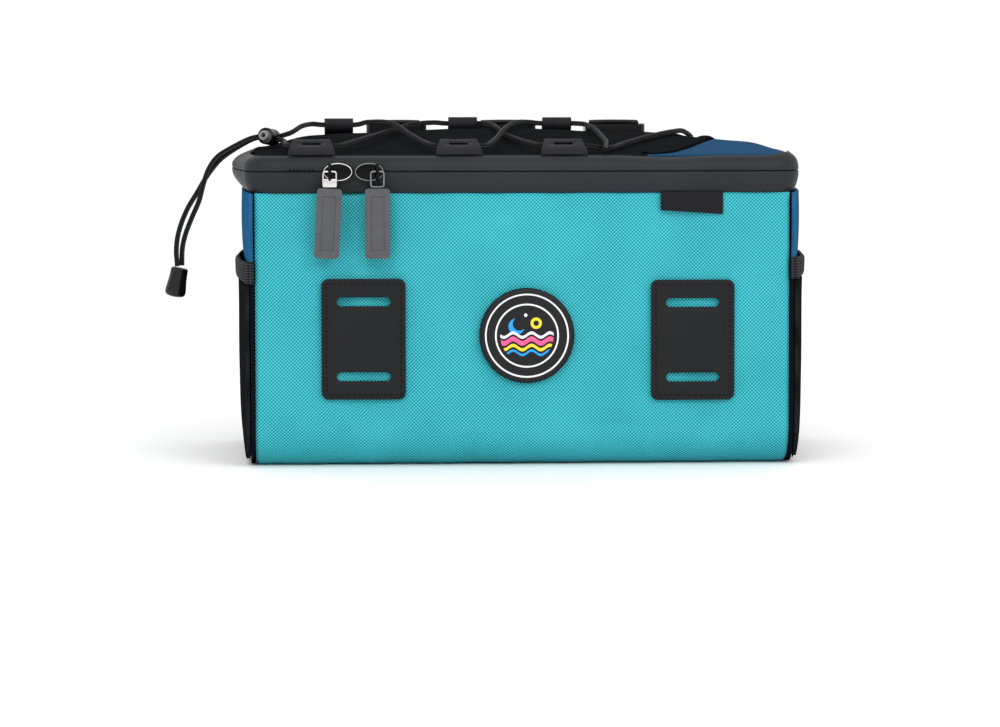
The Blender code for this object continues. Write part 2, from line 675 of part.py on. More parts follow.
def round_badge():
    """A moulded disc with a raised rim."""
    place, turn = front_seat(BADGE_SHARES, GAP * 2)
    profile = [(0.0, BADGE_WALL)]
    profile += [(BADGE_RADIUS - BADGE_RIM_WIDTH * inward, BADGE_WALL + BADGE_RIM * up)
                for inward, up in BADGE_RIM_SHARES]
    profile += [(BADGE_RADIUS, 0.0), (0.0, 0.0)]
    badge = turned("round_badge", profile, BADGE_STEPS)
    add_object("round_badge", badge, "patch_rubber", place, turn)


def turned(name, profile, steps):
    """A solid turned about Z from (radius, height) rows that run from top to bottom."""
    shape = bmesh.new()
    rings = []
    for radius, height in profile:
        if radius == 0.0:
            rings.append([shape.verts.new((0, 0, height))])
        else:
            rings.append([shape.verts.new((radius * math.cos(math.tau * i / steps),
                                           radius * math.sin(math.tau * i / steps), height))
                          for i in range(steps)])
    for upper, lower in zip(rings, rings[1:]):
        for i in range(steps):
            j = (i + 1) % steps
            corners = [upper[i % len(upper)], lower[i % len(lower)],
                       lower[j % len(lower)], upper[j % len(upper)]]
            shape.faces.new(list(dict.fromkeys(corners)))
    return mesh_from_bmesh(name, shape)


def woven_label():
    """A bare woven label, sewn in under the band."""
    drop = GAP + LABEL_HEIGHT / 2
    place, turn = front_seat((LABEL_SHARE, 1 - drop / PANEL_HEIGHT), GAP * 2 + LABEL_WALL / 2)
    shape = box_shape((LABEL_WIDTH, LABEL_HEIGHT, LABEL_WALL))
    add_object("woven_label", mesh_from_bmesh("woven_label", shape), "webbing", place, turn)


# Zip sliders, their links and rubber tabs
def band_face(x):
    """Y of the band's outer face at the zip line."""
    offset = BAND_ROLL * smooth_value(BAND_PROFILE_SHARES, ZIP_HEIGHT_SHARE)
    return -HALF_DEPTH - offset - FRONT_BOW * (1 - (x / HALF_WIDTH) ** 2)


def slider_x(side):
    """The two sliders meet end to end where the zip's halves close."""
    x = HALF_WIDTH * SLIDER_LEFT_SHARE
    return x if side == "left" else x + SLIDER_LENGTH + SLIDER_SPACE


def pull_axis(side):
    """The cross bar's middle, which the pull swings about."""
    sign = -1 if side == "left" else 1
    x = slider_x(side) + sign * BRIDGE_OFFSET
    y = slider_back(side) - SLIDER_WALL - (BRIDGE_RISE - BRIDGE_BAR) / 2
    return Vector((x, y, ZIP_Z))


def slider_back(side):
    return band_face(slider_x(side)) - GAP * 2


def zip_slider(side):
    """A slider body with a bridge over it that holds the pull's cross bar."""
    sign = -1 if side == "left" else 1
    back = slider_back(side)
    place = Vector((slider_x(side), back - SLIDER_WALL / 2, ZIP_Z))
    turn = Matrix.Rotation(math.pi / 2, 3, "X")
    outline = rounded_outline(SLIDER_LENGTH, SLIDER_HEIGHT, SLIDER_HEIGHT * SLIDER_CORNER_SHARE)
    made = flat_plate("zip_slider_" + side, [outline], SLIDER_WALL, "black_metal", place, turn)
    reach = SLIDER_HEIGHT - BRIDGE_POST
    x = sign * BRIDGE_OFFSET
    outer = SLIDER_WALL / 2 + BRIDGE_RISE
    for name, rise in (("post_top", reach / 2), ("post_bottom", -reach / 2)):
        post = box_shape((BRIDGE_WIDTH, BRIDGE_POST, outer), (x, rise, outer / 2))
        combine(made, name, post, "UNION")
    bar = box_shape((BRIDGE_WIDTH, SLIDER_HEIGHT, BRIDGE_BAR), (x, 0, outer - BRIDGE_BAR / 2))
    combine(made, "bridge_bar", bar, "UNION")


def pull_link(side, slot):
    """The metal loop on the bridge, with a plate that the rubber tab grips."""
    axis = pull_axis(side)
    inner = BRIDGE_WIDTH + LINK_CLEARANCE * 2
    limb = (LINK_WIDTH - inner) / 2
    top = LINK_WALL / 2
    bar_reach = (BRIDGE_RISE + BRIDGE_BAR) / 2
    window = math.hypot(SLIDER_HEIGHT / 2, bar_reach) + LINK_CLEARANCE
    low = top - LINK_HEIGHT
    outline = [(-LINK_WIDTH / 2, top), (-LINK_WIDTH / 2, low), (LINK_WIDTH / 2, low),
               (LINK_WIDTH / 2, top)]
    hole = [(-LINK_WIDTH / 2 + limb, top - LINK_WALL), (-LINK_WIDTH / 2 + limb, -window),
            (LINK_WIDTH / 2 - limb, -window), (LINK_WIDTH / 2 - limb, top - LINK_WALL)]
    turn = Matrix.Rotation(math.pi / 2, 3, "X")
    flat_plate("pull_link_" + side, [outline, hole], LINK_WALL, slot, axis, turn)


def pull_tab(side):
    """A rubber tab with a recessed oblong, hanging from the link."""
    axis = pull_axis(side)
    low = LINK_HEIGHT - LINK_WALL / 2 + GAP
    tilt = Matrix.Rotation(TAB_TILT[side], 3, "Y")
    place = axis + Vector((0, 0, -low)) + tilt @ Vector((0, 0, -TAB_HEIGHT / 2))
    turn = tilt @ Matrix.Rotation(math.pi / 2, 3, "X")
    outline = rounded_outline(TAB_WIDTH, TAB_HEIGHT, TAB_CORNER)
    made = flat_plate("pull_tab_" + side, [outline], TAB_WALL, "rubber", place, turn)
    size = (TAB_WIDTH * RECESS_WIDTH_SHARE, TAB_HEIGHT * RECESS_HEIGHT_SHARE, TAB_WALL / 3)
    recess = box_shape(size, (0, 0, TAB_WALL / 2))
    combine(made, "recess", recess, "DIFFERENCE")


# Lacing tabs
def fold_profile():
    """(along, down) of a folded tab: up its face, round the cord and back to its base."""
    straight = LACE_TAB_LENGTH - FOLD_RADIUS
    rows = [(0.0, 0.0), (straight / 2, 0.0), (straight, 0.0)]
    for step in range(1, FOLD_STEPS):
        angle = math.pi * step / FOLD_STEPS
        rows.append((straight + FOLD_RADIUS * math.sin(angle),
                     FOLD_RADIUS * (1 - math.cos(angle))))
    rows += [(straight, FOLD_RADIUS * 2), (straight * FOLD_RETURN_SHARE, TAB_CLOTH * 2 + GAP)]
    return rows


def front_tab_base(share):
    y = -HALF_DEPTH - FRONT_BOW / 2
    return Vector((HALF_WIDTH * share, y, BAND_TOP + TAB_SEAT + TAB_CLOTH))


def rear_tab_base(share):
    x = HALF_WIDTH * share
    y = LID_HALF_DEPTH_BACK - REAR_TAB_INSET
    return Vector((x, y, lid_height(x, y) + TAB_SEAT * 2 + TAB_CLOTH))


def tab_axes(slope, toward):
    along = Vector((0, toward * math.cos(slope), math.sin(slope)))
    down = Vector((0, toward * math.sin(slope), -math.cos(slope)))
    return along, down


def fold_centre(base, slope, toward):
    """The middle of a tab's fold, where the cord lies in it."""
    along, down = tab_axes(slope, toward)
    return base + along * (LACE_TAB_LENGTH - FOLD_RADIUS) + down * FOLD_RADIUS


def folded_tab(name, base, slope, toward, base_width, tip_width, slot_size=None):
    """A cloth tab folded round the cord; toward is +1 for the rear and -1 for the front."""
    along, down = tab_axes(slope, toward)
    rows = []
    for run, depth in fold_profile():
        half = (base_width + (tip_width - base_width) * run / LACE_TAB_LENGTH) / 2
        middle = base + along * run + down * depth
        rows.append([middle + Vector((half * share, 0, 0)) for share in (-1, 0, 1)])
    made = cloth_sheet(name, rows, "coated_black", TAB_CLOTH, flip=toward < 0)
    if slot_size:
        width, height = slot_size
        middle = base + along * (LACE_TAB_LENGTH * TAB_SLOT_SHARE)
        cutter = box_shape((width, height, TAB_CLOTH * 3))
        bmesh.ops.rotate(cutter, matrix=Matrix.Rotation(slope, 3, "X"), verts=cutter.verts)
        bmesh.ops.translate(cutter, vec=middle, verts=cutter.verts)
        combine(made, "slot", cutter, "DIFFERENCE")


def lacing_tabs():
    for name, share in zip(PLACES, FRONT_TAB_SHARES):
        base = front_tab_base(share)
        folded_tab("front_tab_" + name, base, FRONT_TAB_SLOPE, 1, FRONT_TAB_BASE_WIDTH,
                   FRONT_TAB_TIP_WIDTH, FRONT_TAB_SLOT)
    for name, share in zip(PLACES, REAR_TAB_SHARES):
        base = rear_tab_base(share)
        folded_tab("rear_tab_" + name, base, REAR_TAB_SLOPE, -1, REAR_TAB_WIDTH, REAR_TAB_WIDTH)


# Cords
FRONT_FOLD = fold_centre(front_tab_base(FRONT_TAB_SHARES[1]), FRONT_TAB_SLOPE, 1)
REAR_FOLD = fold_centre(rear_tab_base(REAR_TAB_SHARES[1]), REAR_TAB_SLOPE, -1)


def lace_place(across, along, rise):
    """A place given by shares, on or off the line between the front and rear folds."""
    line = FRONT_FOLD + (REAR_FOLD - FRONT_FOLD) * along
    return Vector((HALF_WIDTH * across, line.y, line.z + LID_RISE * rise))


def smooth_route(points, step):
    """Evenly spaced points on a smooth curve through the chosen ones, in metres."""
    ends = [2 * points[0] - points[1], *points, 2 * points[-1] - points[-2]]
    fine = []
    for a, b, c, d in zip(ends, ends[1:], ends[2:], ends[3:]):
        for i in range(ROUTE_FINENESS):
            t = i / ROUTE_FINENESS
            fine.append(0.5 * (2 * b + (c - a) * t + (2 * a - 5 * b + 4 * c - d) * t * t
                               + (3 * b - a - 3 * c + d) * t ** 3))
    fine.append(points[-1])
    lengths = [0.0]
    for low, high in zip(fine, fine[1:]):
        lengths.append(lengths[-1] + (high - low).length)
    count = max(2, round(lengths[-1] / step))
    stations = np.linspace(0, lengths[-1], count + 1)
    return [Vector([float(np.interp(s, lengths, [p[k] for p in fine])) for k in range(3)])
            for s in stations]


def cord(name, route):
    """A round elastic cord along its route."""
    data = bpy.data.curves.new(name, "CURVE")
    data.dimensions = "3D"
    data.bevel_depth = CORD_DIAMETER / 2
    data.bevel_resolution = 2
    data.use_fill_caps = True
    points = smooth_route([lace_place(*row) for row in route], CORD_STEP)
    spline = data.splines.new("POLY")
    spline.points.add(len(points) - 1)
    for point, place in zip(spline.points, points):
        point.co = (*place, 1)
    data.materials.append(material("webbing"))
    made = bpy.data.objects.new(name, data)
    PARTS.objects.link(made)
    made.parent = ROOT


def toward_z(direction):
    return direction.to_track_quat("Z", "Y").to_matrix()


def cord_lock():
    """A barrel with a blind bore and a sprung button that shows as a grey ring."""
    turn = toward_z(LOCK_AXIS)
    centre = lace_place(*LOCK_SHARES)
    half = LOCK_LENGTH / 2
    edge = LOCK_RADIUS * TURNED_EDGE_SHARE
    profile = [(0.0, half - LOCK_BORE_DEPTH), (LOCK_BORE, half - LOCK_BORE_DEPTH),
               (LOCK_BORE, half), (LOCK_RADIUS - edge, half), (LOCK_RADIUS, half - edge),
               (LOCK_RADIUS, edge - half), (LOCK_RADIUS - edge, -half), (0.0, -half)]
    body = turned("cord_lock_body", profile, LOCK_STEPS)
    add_object("cord_lock_body", body, "plastic", centre, turn)
    top = half + BUTTON_STICK_OUT
    depth = BUTTON_STICK_OUT * BUTTON_HOLLOW_SHARE
    ease = BUTTON_RADIUS * TURNED_EDGE_SHARE
    profile = [(0.0, top - depth), (BUTTON_HOLE, top - depth), (BUTTON_HOLE, top),
               (BUTTON_RADIUS - ease, top), (BUTTON_RADIUS, top - ease),
               (BUTTON_RADIUS, top - BUTTON_LENGTH), (0.0, top - BUTTON_LENGTH)]
    button = turned("cord_lock_button", profile, LOCK_STEPS)
    add_object("cord_lock_button", button, "ring_grey", centre, turn)


def cord_end():
    """A bell-shaped cap that both tail strands end in."""
    turn = Matrix.Rotation(CORD_END_TILT, 3, "Y")
    low = -CORD_END_LENGTH
    lip = CORD_END_TOP_RADIUS - CORD_END_RADIUS
    profile = [(0.0, 0.0), (CORD_END_TOP_RADIUS * CORD_END_LIP_SHARE, 0.0),
               (CORD_END_TOP_RADIUS, lip)]
    profile += [(CORD_END_RADIUS * wide, low * down) for wide, down in CORD_END_PROFILE_SHARES]
    profile.append((0.0, low))
    cap = turned("cord_end", profile, CORD_END_STEPS)
    add_object("cord_end", cap, "plastic", lace_place(*CORD_END_SHARES), turn)


# Mounting straps
def loop_seat():
    """Distance from the back panel to the loop's axis, where the loop meets the band."""
    reach = []
    for i in range(SEAT_STEPS):
        share = i / SEAT_STEPS
        rise = BAND_BASE + BAND_HEIGHT * share - LOOP_HEIGHT
        chord = math.sqrt(max(LOOP_RADIUS ** 2 - rise ** 2, 0.0))
        reach.append(BAND_ROLL * smooth_value(BAND_PROFILE_SHARES, share) + chord)
    return max(reach) + GAP


LOOP_Y = BACK_FACE + loop_seat()


def strap_loop(name, x):
    """Webbing in a closed loop."""
    turn = Matrix.Rotation(math.pi / 2, 3, "Z") @ Matrix.Rotation(math.pi / 2, 3, "X")
    outlines = [circle_outline(LOOP_RADIUS, LOOP_STEPS), circle_outline(LOOP_CLEAR_RADIUS, LOOP_STEPS)]
    flat_plate("strap_loop_" + name, outlines, WEBBING_WIDTH, "webbing", (x, LOOP_Y, LOOP_HEIGHT),
               turn)


def strap_buckle(name, x):
    """A ladder-lock buckle on top of the loop, with two slots across it."""
    z = LOOP_HEIGHT + LOOP_RADIUS + GAP + BUCKLE_WALL / 2
    slot = rounded_outline(WEBBING_WIDTH, BUCKLE_SLOT, BUCKLE_SLOT / 3, BUCKLE_SLOT_STEPS)
    rise = BUCKLE_LENGTH * BUCKLE_SLOT_SHARE
    outlines = [rounded_outline(BUCKLE_WIDTH, BUCKLE_LENGTH, BUCKLE_CORNER)]
    outlines += [moved(slot, 0, rise), moved(slot, 0, -rise)]
    flat_plate("strap_buckle_" + name, outlines, BUCKLE_WALL, "plastic", (x, LOOP_Y, z),
               Matrix.Identity(3))


def strap_tail(name, x):
    """The strap's end, turned over the buckle and down behind the loop."""
    top = LOOP_HEIGHT + LOOP_RADIUS + GAP * 2 + BUCKLE_WALL + WEBBING_WALL
    reach = BUCKLE_LENGTH / 2
    outer = LOOP_RADIUS + GAP + WEBBING_WALL
    rear = reach + WEBBING_WALL + GAP * 2
    profile = [(reach * TAIL_START_SHARE, top + GAP)]
    profile += [(reach * along, top + TAIL_RISE * rise) for along, rise in TAIL_TURN_SHARES]
    profile += [(rear, top - WEBBING_WALL / 2), (rear, top - BUCKLE_WALL - WEBBING_WALL)]
    for degrees in TAIL_ANGLES:
        angle = math.radians(degrees)
        profile.append((outer * math.cos(angle), LOOP_HEIGHT + outer * math.sin(angle)))
    half = WEBBING_WIDTH / 2
    rows = [[(x + half * share, LOOP_Y + y, z) for share in (-1, 0, 1)] for y, z in profile]
    cloth_sheet("strap_tail_" + name, rows, "webbing", WEBBING_WALL)


main_panel()
back_panel()
for side_name, side_sign in (("left", -1), ("right", 1)):
    side_panel(side_name, side_sign)
    side_pocket(side_name, side_sign)
zip_band()
lid_panels()
for side_name, link_slot in (("left", "steel"), ("right", "black_metal")):
    slotted_patch(side_name)
    zip_slider(side_name)
    pull_link(side_name, link_slot)
    pull_tab(side_name)
round_badge()
woven_label()
lacing_tabs()
cord("lace_strand_left", LACE_LEFT_SHARES)
cord("lace_strand_right", LACE_RIGHT_SHARES)
cord("tail_strand_outer", TAIL_OUTER_SHARES)
cord("tail_strand_inner", TAIL_INNER_SHARES)
cord_lock()
cord_end()
for strap_name, strap_place in zip(PLACES, (-1, 0, 1)):
    strap_x = STRAP_MIDDLE_X + STRAP_SPACING * strap_place
    strap_loop(strap_name, strap_x)
    strap_buckle(strap_name, strap_x)
    strap_tail(strap_name, strap_x)

REAR_REACH = LOOP_Y + LOOP_RADIUS + GAP + WEBBING_WALL
FRONT_REACH = SLIDER_WALL + BRIDGE_RISE - slider_back("right")
LEFT_REACH = SIDE_FACE + BAND_ROLL * BAND_FULLEST + BAND_SIDE_SWELL + LEFT_SLUMP
RIGHT_REACH = SIDE_FACE + GAP * 2 + HEM_WALL + side_face(POCKET_HEIGHT + HEM_HEIGHT) + POCKET_ROOM
ROOT.location = ((LEFT_REACH - RIGHT_REACH) / 2, (FRONT_REACH - REAR_REACH) / 2, 0)
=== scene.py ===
"""The dressed handlebar bag: cloth, coating, webbing, rubber and metal over its fixed frame."""
import math

import bmesh
import bpy
import numpy as np
from mathutils import Matrix, Vector


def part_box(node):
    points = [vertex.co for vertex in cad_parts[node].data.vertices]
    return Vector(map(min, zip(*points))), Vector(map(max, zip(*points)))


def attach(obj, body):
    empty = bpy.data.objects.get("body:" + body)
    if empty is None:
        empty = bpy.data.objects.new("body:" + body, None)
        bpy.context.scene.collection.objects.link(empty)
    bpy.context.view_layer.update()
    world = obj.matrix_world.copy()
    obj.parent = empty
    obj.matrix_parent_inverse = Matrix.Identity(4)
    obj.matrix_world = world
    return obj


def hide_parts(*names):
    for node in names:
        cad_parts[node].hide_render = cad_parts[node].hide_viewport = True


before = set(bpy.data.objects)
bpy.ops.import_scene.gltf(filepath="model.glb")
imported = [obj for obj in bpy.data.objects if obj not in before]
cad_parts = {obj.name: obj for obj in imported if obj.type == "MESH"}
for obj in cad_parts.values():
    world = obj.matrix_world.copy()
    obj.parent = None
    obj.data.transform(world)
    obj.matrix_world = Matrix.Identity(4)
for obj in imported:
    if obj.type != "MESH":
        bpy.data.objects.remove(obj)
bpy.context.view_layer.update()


# Setting: the bag stands on a wide pale floor in an evenly lit white studio, with two soft lamps
# in front of it, and the camera looks at its front from a little above the lid.
SHIFT = np.array((0.00047358, -0.01778571, 0))
bpy.context.scene.view_settings.view_transform = "Standard"
add_to_scene = bpy.context.scene.collection.objects.link


class Amount:
    """A number that changes over a surface; sums on it lay out the nodes that work them out."""

    def __init__(self, tree, socket):
        self.tree = tree
        self.socket = socket

    def work(self, operation, *values):
        node = self.tree.nodes.new("ShaderNodeMath")
        node.operation = operation
        for entry, value in zip(node.inputs, values):
            if isinstance(value, Amount):
                self.tree.links.new(value.socket, entry)
            else:
                entry.default_value = value
        return Amount(self.tree, node.outputs[0])

    def __add__(self, other):
        return self.work("ADD", self, other)

    def __sub__(self, other):
        return self.work("SUBTRACT", self, other)

    def __rsub__(self, other):
        return self.work("SUBTRACT", other, self)

    def __mul__(self, other):
        return self.work("MULTIPLY", self, other)

    def wave(self, pitch):
        """A wave from 0 to 1 and back over each pitch."""
        return self.work("SINE", self * (math.tau / pitch)) * 0.5 + 0.5

    def size(self):
        return self.work("ABSOLUTE", self)

    def least(self, other):
        return self.work("MINIMUM", self, other)

    def most(self, other):
        return self.work("MAXIMUM", self, other)

    def root(self):
        return self.work("SQRT", self)

    def step(self, low, high):
        """0 below low and 1 above high, smooth between; the other way round if high is lower."""
        node = self.tree.nodes.new("ShaderNodeMapRange")
        node.interpolation_type = "SMOOTHSTEP"
        turned = high < low
        self.tree.links.new(self.socket, node.inputs["Value"])
        node.inputs["From Min"].default_value = min(low, high)
        node.inputs["From Max"].default_value = max(low, high)
        made = Amount(self.tree, node.outputs[0])
        return 1 - made if turned else made


class Finish:
    """A material whose surface is described with Amounts in metres."""

    def __init__(self, name, colour, roughness, specular=0.5, metallic=0):
        self.material = bpy.data.materials.new(name)
        self.material.use_nodes = True
        self.tree = self.material.node_tree
        self.shader = self.tree.nodes["Principled BSDF"]
        for socket, value in (("Base Color", (*colour, 1)), ("Roughness", roughness),
                              ("Specular IOR Level", specular), ("Metallic", metallic)):
            self.shader.inputs[socket].default_value = value

    def node(self, kind, settings, sockets, output=0):
        made = self.tree.nodes.new(kind)
        for name, value in settings.items():
            setattr(made, name, value)
        for name, value in sockets.items():
            if isinstance(value, Amount):
                self.tree.links.new(value.socket, made.inputs[name])
            else:
                made.inputs[name].default_value = value
        return Amount(self.tree, made.outputs[output])

    def laid_flat(self):
        """Across and along the piece as it was cut, in metres."""
        flat = self.node("ShaderNodeUVMap", {"uv_map": "flat"}, {})
        return (self.node("ShaderNodeSeparateXYZ", {}, {0: flat}, 0),
                self.node("ShaderNodeSeparateXYZ", {}, {0: flat}, 1))

    def cloudy(self, size, detail=2.0):
        """Soft random patches of about that size, from 0 to 1."""
        spot = self.node("ShaderNodeTexCoord", {}, {}, "Object")
        return self.node("ShaderNodeTexNoise", {}, {"Vector": spot, "Scale": 1 / size,
                                                    "Detail": detail})

    def colour(self, base, *layers):
        """Lay colours over a base colour, each with the share of it that shows (0 to 1)."""
        base = (*base, 1)
        for share, layer in layers:
            base = self.node("ShaderNodeMix", {"data_type": "RGBA"},
                             {0: share, 6: base, 7: (*layer, 1)}, 2)
        self.tree.links.new(base.socket, self.shader.inputs["Base Color"])

    def roughness(self, value):
        self.tree.links.new(value.socket, self.shader.inputs["Roughness"])

    def relief(self, height, depth):
        """Raise the surface by height (0 to 1) times depth in metres."""
        bump = self.node("ShaderNodeBump", {}, {"Height": height, "Distance": depth})
        self.tree.links.new(bump.socket, self.shader.inputs["Normal"])


FLOOR_REACH = 40.0
SURROUND_STRENGTH = 1.05
LAMPS = [  # name, place, width, height, power in watts
    ("window_light", (-0.6, -1.9, 1.5), 1.2, 0.9, 13.0),
    ("right_light", (0.9, -1.7, 1.2), 1, 0.9, 11.0)]
LAMP_TARGET = (0, 0, 0.08)
SENSOR_WIDTH = 36
FOCAL_LENGTH = 129.86
CAMERA_PLACE = (-0.1043, -1.86905, 0.2235)
CAMERA_TARGET = (-0.011, -0.0798, 0.0516)

paper = Finish("pale_paper", (0.97, 0.97, 0.97), 0.9)
paper.relief(paper.cloudy(0.004), 0.00005)
floor_mesh = bpy.data.meshes.new("paper_floor")
floor_mesh.from_pydata([(x * FLOOR_REACH, y * FLOOR_REACH, 0)
                        for x, y in ((-1, -1), (1, -1), (1, 1), (-1, 1))], [], [(0, 1, 2, 3)])
floor_mesh.materials.append(paper.material)
floor = bpy.data.objects.new("paper_floor", floor_mesh)
add_to_scene(floor)

world = bpy.data.worlds.new("studio")
world.use_nodes = True
surround = world.node_tree.nodes["Background"]
surround.inputs["Color"].default_value = (1, 1, 1, 1)
surround.inputs["Strength"].default_value = SURROUND_STRENGTH
bpy.context.scene.world = world


def aimed(item, place, target):
    item.location = place
    item.rotation_euler = (Vector(target) - Vector(place)).to_track_quat("-Z", "Y").to_euler()
    add_to_scene(item)


for name, place, width, height, power in LAMPS:
    lamp = bpy.data.lights.new(name, "AREA")
    lamp.shape = "RECTANGLE"
    lamp.size = width
    lamp.size_y = height
    lamp.energy = power
    aimed(bpy.data.objects.new(name, lamp), place, LAMP_TARGET)

lens = bpy.data.cameras.new("camera")
lens.sensor_width = SENSOR_WIDTH
lens.lens = FOCAL_LENGTH
camera = bpy.data.objects.new("camera", lens)
aimed(camera, CAMERA_PLACE, CAMERA_TARGET)
bpy.context.scene.camera = camera


# Shock cord: one elastic cord of 2.6 mm with a braided black jacket is laced to and fro over
# the lid in two strands, and its tail hangs at the left end. Rubber core, woven jacket.
CORD_DIAMETER = 0.0026
CORD_STEP = 0.0016
CORD_END_PLACE = (-0.1722, -0.01, 0.0965)
CORD_END_LEAN = math.radians(11)
CORD_END = [
    (0, 0), (0.0037, 0), (0.0042, -0.0003), (0.0044, -0.0011), (0.00445, -0.003),
    (0.0046, -0.006), (0.005, -0.009), (0.0053, -0.0114), (0.0053, -0.0128),
    (0.0049, -0.0139), (0.004, -0.0146), (0.0024, -0.015), (0, -0.015)]
LACE_LEFT = [  # each route in millimetres, from the cord lock
    (-120.4, 7.5, 162.9), (-115, 12, 164.6), (-110, 28, 167.2), (-104.6, 41.5, 168),
    (-99.8, 45.3, 167.5), (-90.5, 45.5, 167.4), (-81.2, 45.3, 167.5), (-75, 39, 169),
    (-63.5, 20, 169), (-54.5, -4, 163.8), (-47.6, -32, 160.6), (-44.5, -44, 159.9),
    (-41.5, -48.7, 159.6), (-30.5, -48.9, 159.6), (-20.8, -48.7, 159.6), (-16.6, -43, 159.9),
    (-11, -18, 162.4), (-5.2, 6, 166.8), (1.6, 28, 169), (9, 41, 168.8),
    (14.8, 45.3, 168.1), (24, 45.5, 168), (33.2, 45.3, 168), (38.8, 38, 167.6),
    (41.6, 20, 166), (43.2, 0, 163.6), (43.8, -26, 161.4), (43.2, -40, 161.3),
    (41.6, -54, 158.9), (41.4, -57.6, 157.9)]
LACE_RIGHT = [
    (-122, 4.1, 161.4), (-118.8, -4, 160.6), (-118.2, -24, 159.9), (-117.2, -41, 159.8),
    (-112.4, -48.6, 159.6), (-102.5, -48.9, 159.6), (-92.6, -48.6, 159.6), (-87, -38, 160.4),
    (-73, -4, 163.3), (-63.5, 16, 165.2), (-53, 34, 167.8), (-41.5, 43, 168.6),
    (-34.8, 45.3, 168.1), (-25.5, 45.5, 168), (-16.2, 45.3, 168.1), (-11.2, 34, 167.8),
    (-8.6, 20, 166.3), (-5.2, 6, 163.5), (0.8, -18, 161.3), (6, -36, 160.2),
    (9, -45, 159.8), (13.4, -48.7, 159.6), (23, -48.9, 159.6), (32.8, -48.6, 159.5),
    (39, -44.8, 158.5), (46.5, -36, 158.1), (52.4, -22, 159.2), (58.6, -10, 160.4),
    (65, 0.5, 161.6), (71.5, 9.5, 162.7), (78, 18.5, 163.7), (84, 27.5, 164.3),
    (88.8, 36.5, 164.4), (92.4, 44.5, 163), (95.6, 52.5, 160.8)]
TAIL_OUTER = [
    (-130.4, 12, 162.2), (-135.4, 13, 161), (-143.5, 11.6, 156.6), (-151.6, 9, 150.9),
    (-158, 6, 143.2), (-163.4, 2.4, 134.3), (-168.8, -2.2, 125.2), (-172.6, -6.6, 115),
    (-173.9, -10, 106), (-173.4, -11.4, 97.4)]
TAIL_INNER = [
    (-131.6, 8.6, 162.6), (-136.6, 9.4, 161.4), (-144.5, 8.4, 157.6), (-152.8, 6, 152.6),
    (-157.4, 3.2, 146.4), (-160.2, 0.2, 138.6), (-162.4, -3, 130.2), (-166.2, -5.6, 121.4),
    (-169.2, -7.6, 113.6), (-170.9, -8.6, 106.2), (-171.2, -8.6, 97.6)]


def grid(*parts):
    """Points, or a flat layout, from rows and columns of their coordinates."""
    return np.stack(np.broadcast_arrays(*parts), axis=-1)


def run_along(line):
    """How far along a line each of its points lies."""
    return np.concatenate(([0], np.cumsum(np.linalg.norm(np.diff(line, axis=0), axis=1))))


def smooth_line(route, spacing):
    """Evenly spaced points, in metres, on a smooth curve through a route given in mm."""
    points = np.array(route) * 0.001 + SHIFT
    ends = np.vstack((2 * points[0] - points[1], points, 2 * points[-1] - points[-2]))
    t = np.linspace(0, 1, 24, endpoint=False)[:, None]
    fine = [0.5 * (2 * b + (c - a) * t + (2 * a - 5 * b + 4 * c - d) * t ** 2
                   + (3 * b - a - 3 * c + d) * t ** 3)
            for a, b, c, d in zip(ends, ends[1:], ends[2:], ends[3:])]
    fine = np.vstack((*fine, points[-1:]))
    run = run_along(fine)
    stations = np.linspace(0, run[-1], max(3, round(run[-1] / spacing)) + 1)
    return np.array([np.interp(stations, run, fine[:, k]) for k in range(3)]).T, float(run[-1])


def cloth_mesh(name, points, flat, closed=False, flip=False, capped=False, hole=None):
    """A grid of points with its flat layout, in metres; hole says which cells are cut out."""
    rows, columns = points.shape[:2]
    faces = []
    corners = []
    for i in range(rows - 1):
        for j in range(columns if closed else columns - 1):
            if hole and hole(i, j):
                continue
            quad = [(i, j), (i, j + 1), (i + 1, j + 1), (i + 1, j)]
            if flip:
                quad.reverse()
            faces.append([a * columns + b % columns for a, b in quad])
            corners += [flat[a, b] for a, b in quad]
    if capped:
        for start, order in ((0, 1), ((rows - 1) * columns, -1)):
            ring = list(range(start, start + columns))[::-order]
            faces.append(ring[::-1] if flip else ring)
            corners += [flat[0, 0]] * columns
    mesh = bpy.data.meshes.new(name)
    mesh.from_pydata(points.reshape(-1, 3).tolist(), [], faces)
    mesh.uv_layers.new(name="flat").data.foreach_set("uv", np.array(corners).ravel())
    mesh.shade_smooth()
    mesh.set_sharp_from_angle(angle=math.radians(50))
    return mesh


def make(name, mesh, finish, nodes, body="bag", wall=None):
    """Put a finished piece in place of its nodes, with a wall behind its outer face if asked."""
    made = bpy.data.objects.new(name, mesh)
    mesh.materials.clear()
    mesh.materials.append(finish.material)
    add_to_scene(made)
    if wall:
        shell = made.modifiers.new("wall", "SOLIDIFY")
        shell.thickness = wall
        shell.offset = -1
        shell.use_even_offset = True
    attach(made, body)
    if nodes:
        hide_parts(*nodes)
    return made


def tube(name, line, radius, sides=14):
    """A round tube along a line, its girth and its length laid flat for the braid."""
    ahead = np.gradient(line, axis=0)
    ahead /= np.linalg.norm(ahead, axis=1)[:, None]
    side = np.cross(ahead[0], (0, 0, 1))
    side /= np.linalg.norm(side)
    angles = np.linspace(0, math.tau, sides, endpoint=False)
    rings = []
    for place, direction in zip(line, ahead):
        side = side - direction * np.dot(side, direction)
        side /= np.linalg.norm(side)
        up = np.cross(direction, side)
        rings.append(place + radius * (np.outer(np.cos(angles), side)
                                       + np.outer(np.sin(angles), up)))
    girth = np.linspace(0, math.tau * radius, sides + 1)
    flat = grid(girth, run_along(line)[:, None])
    return cloth_mesh(name, np.array(rings), flat, closed=True, capped=True)


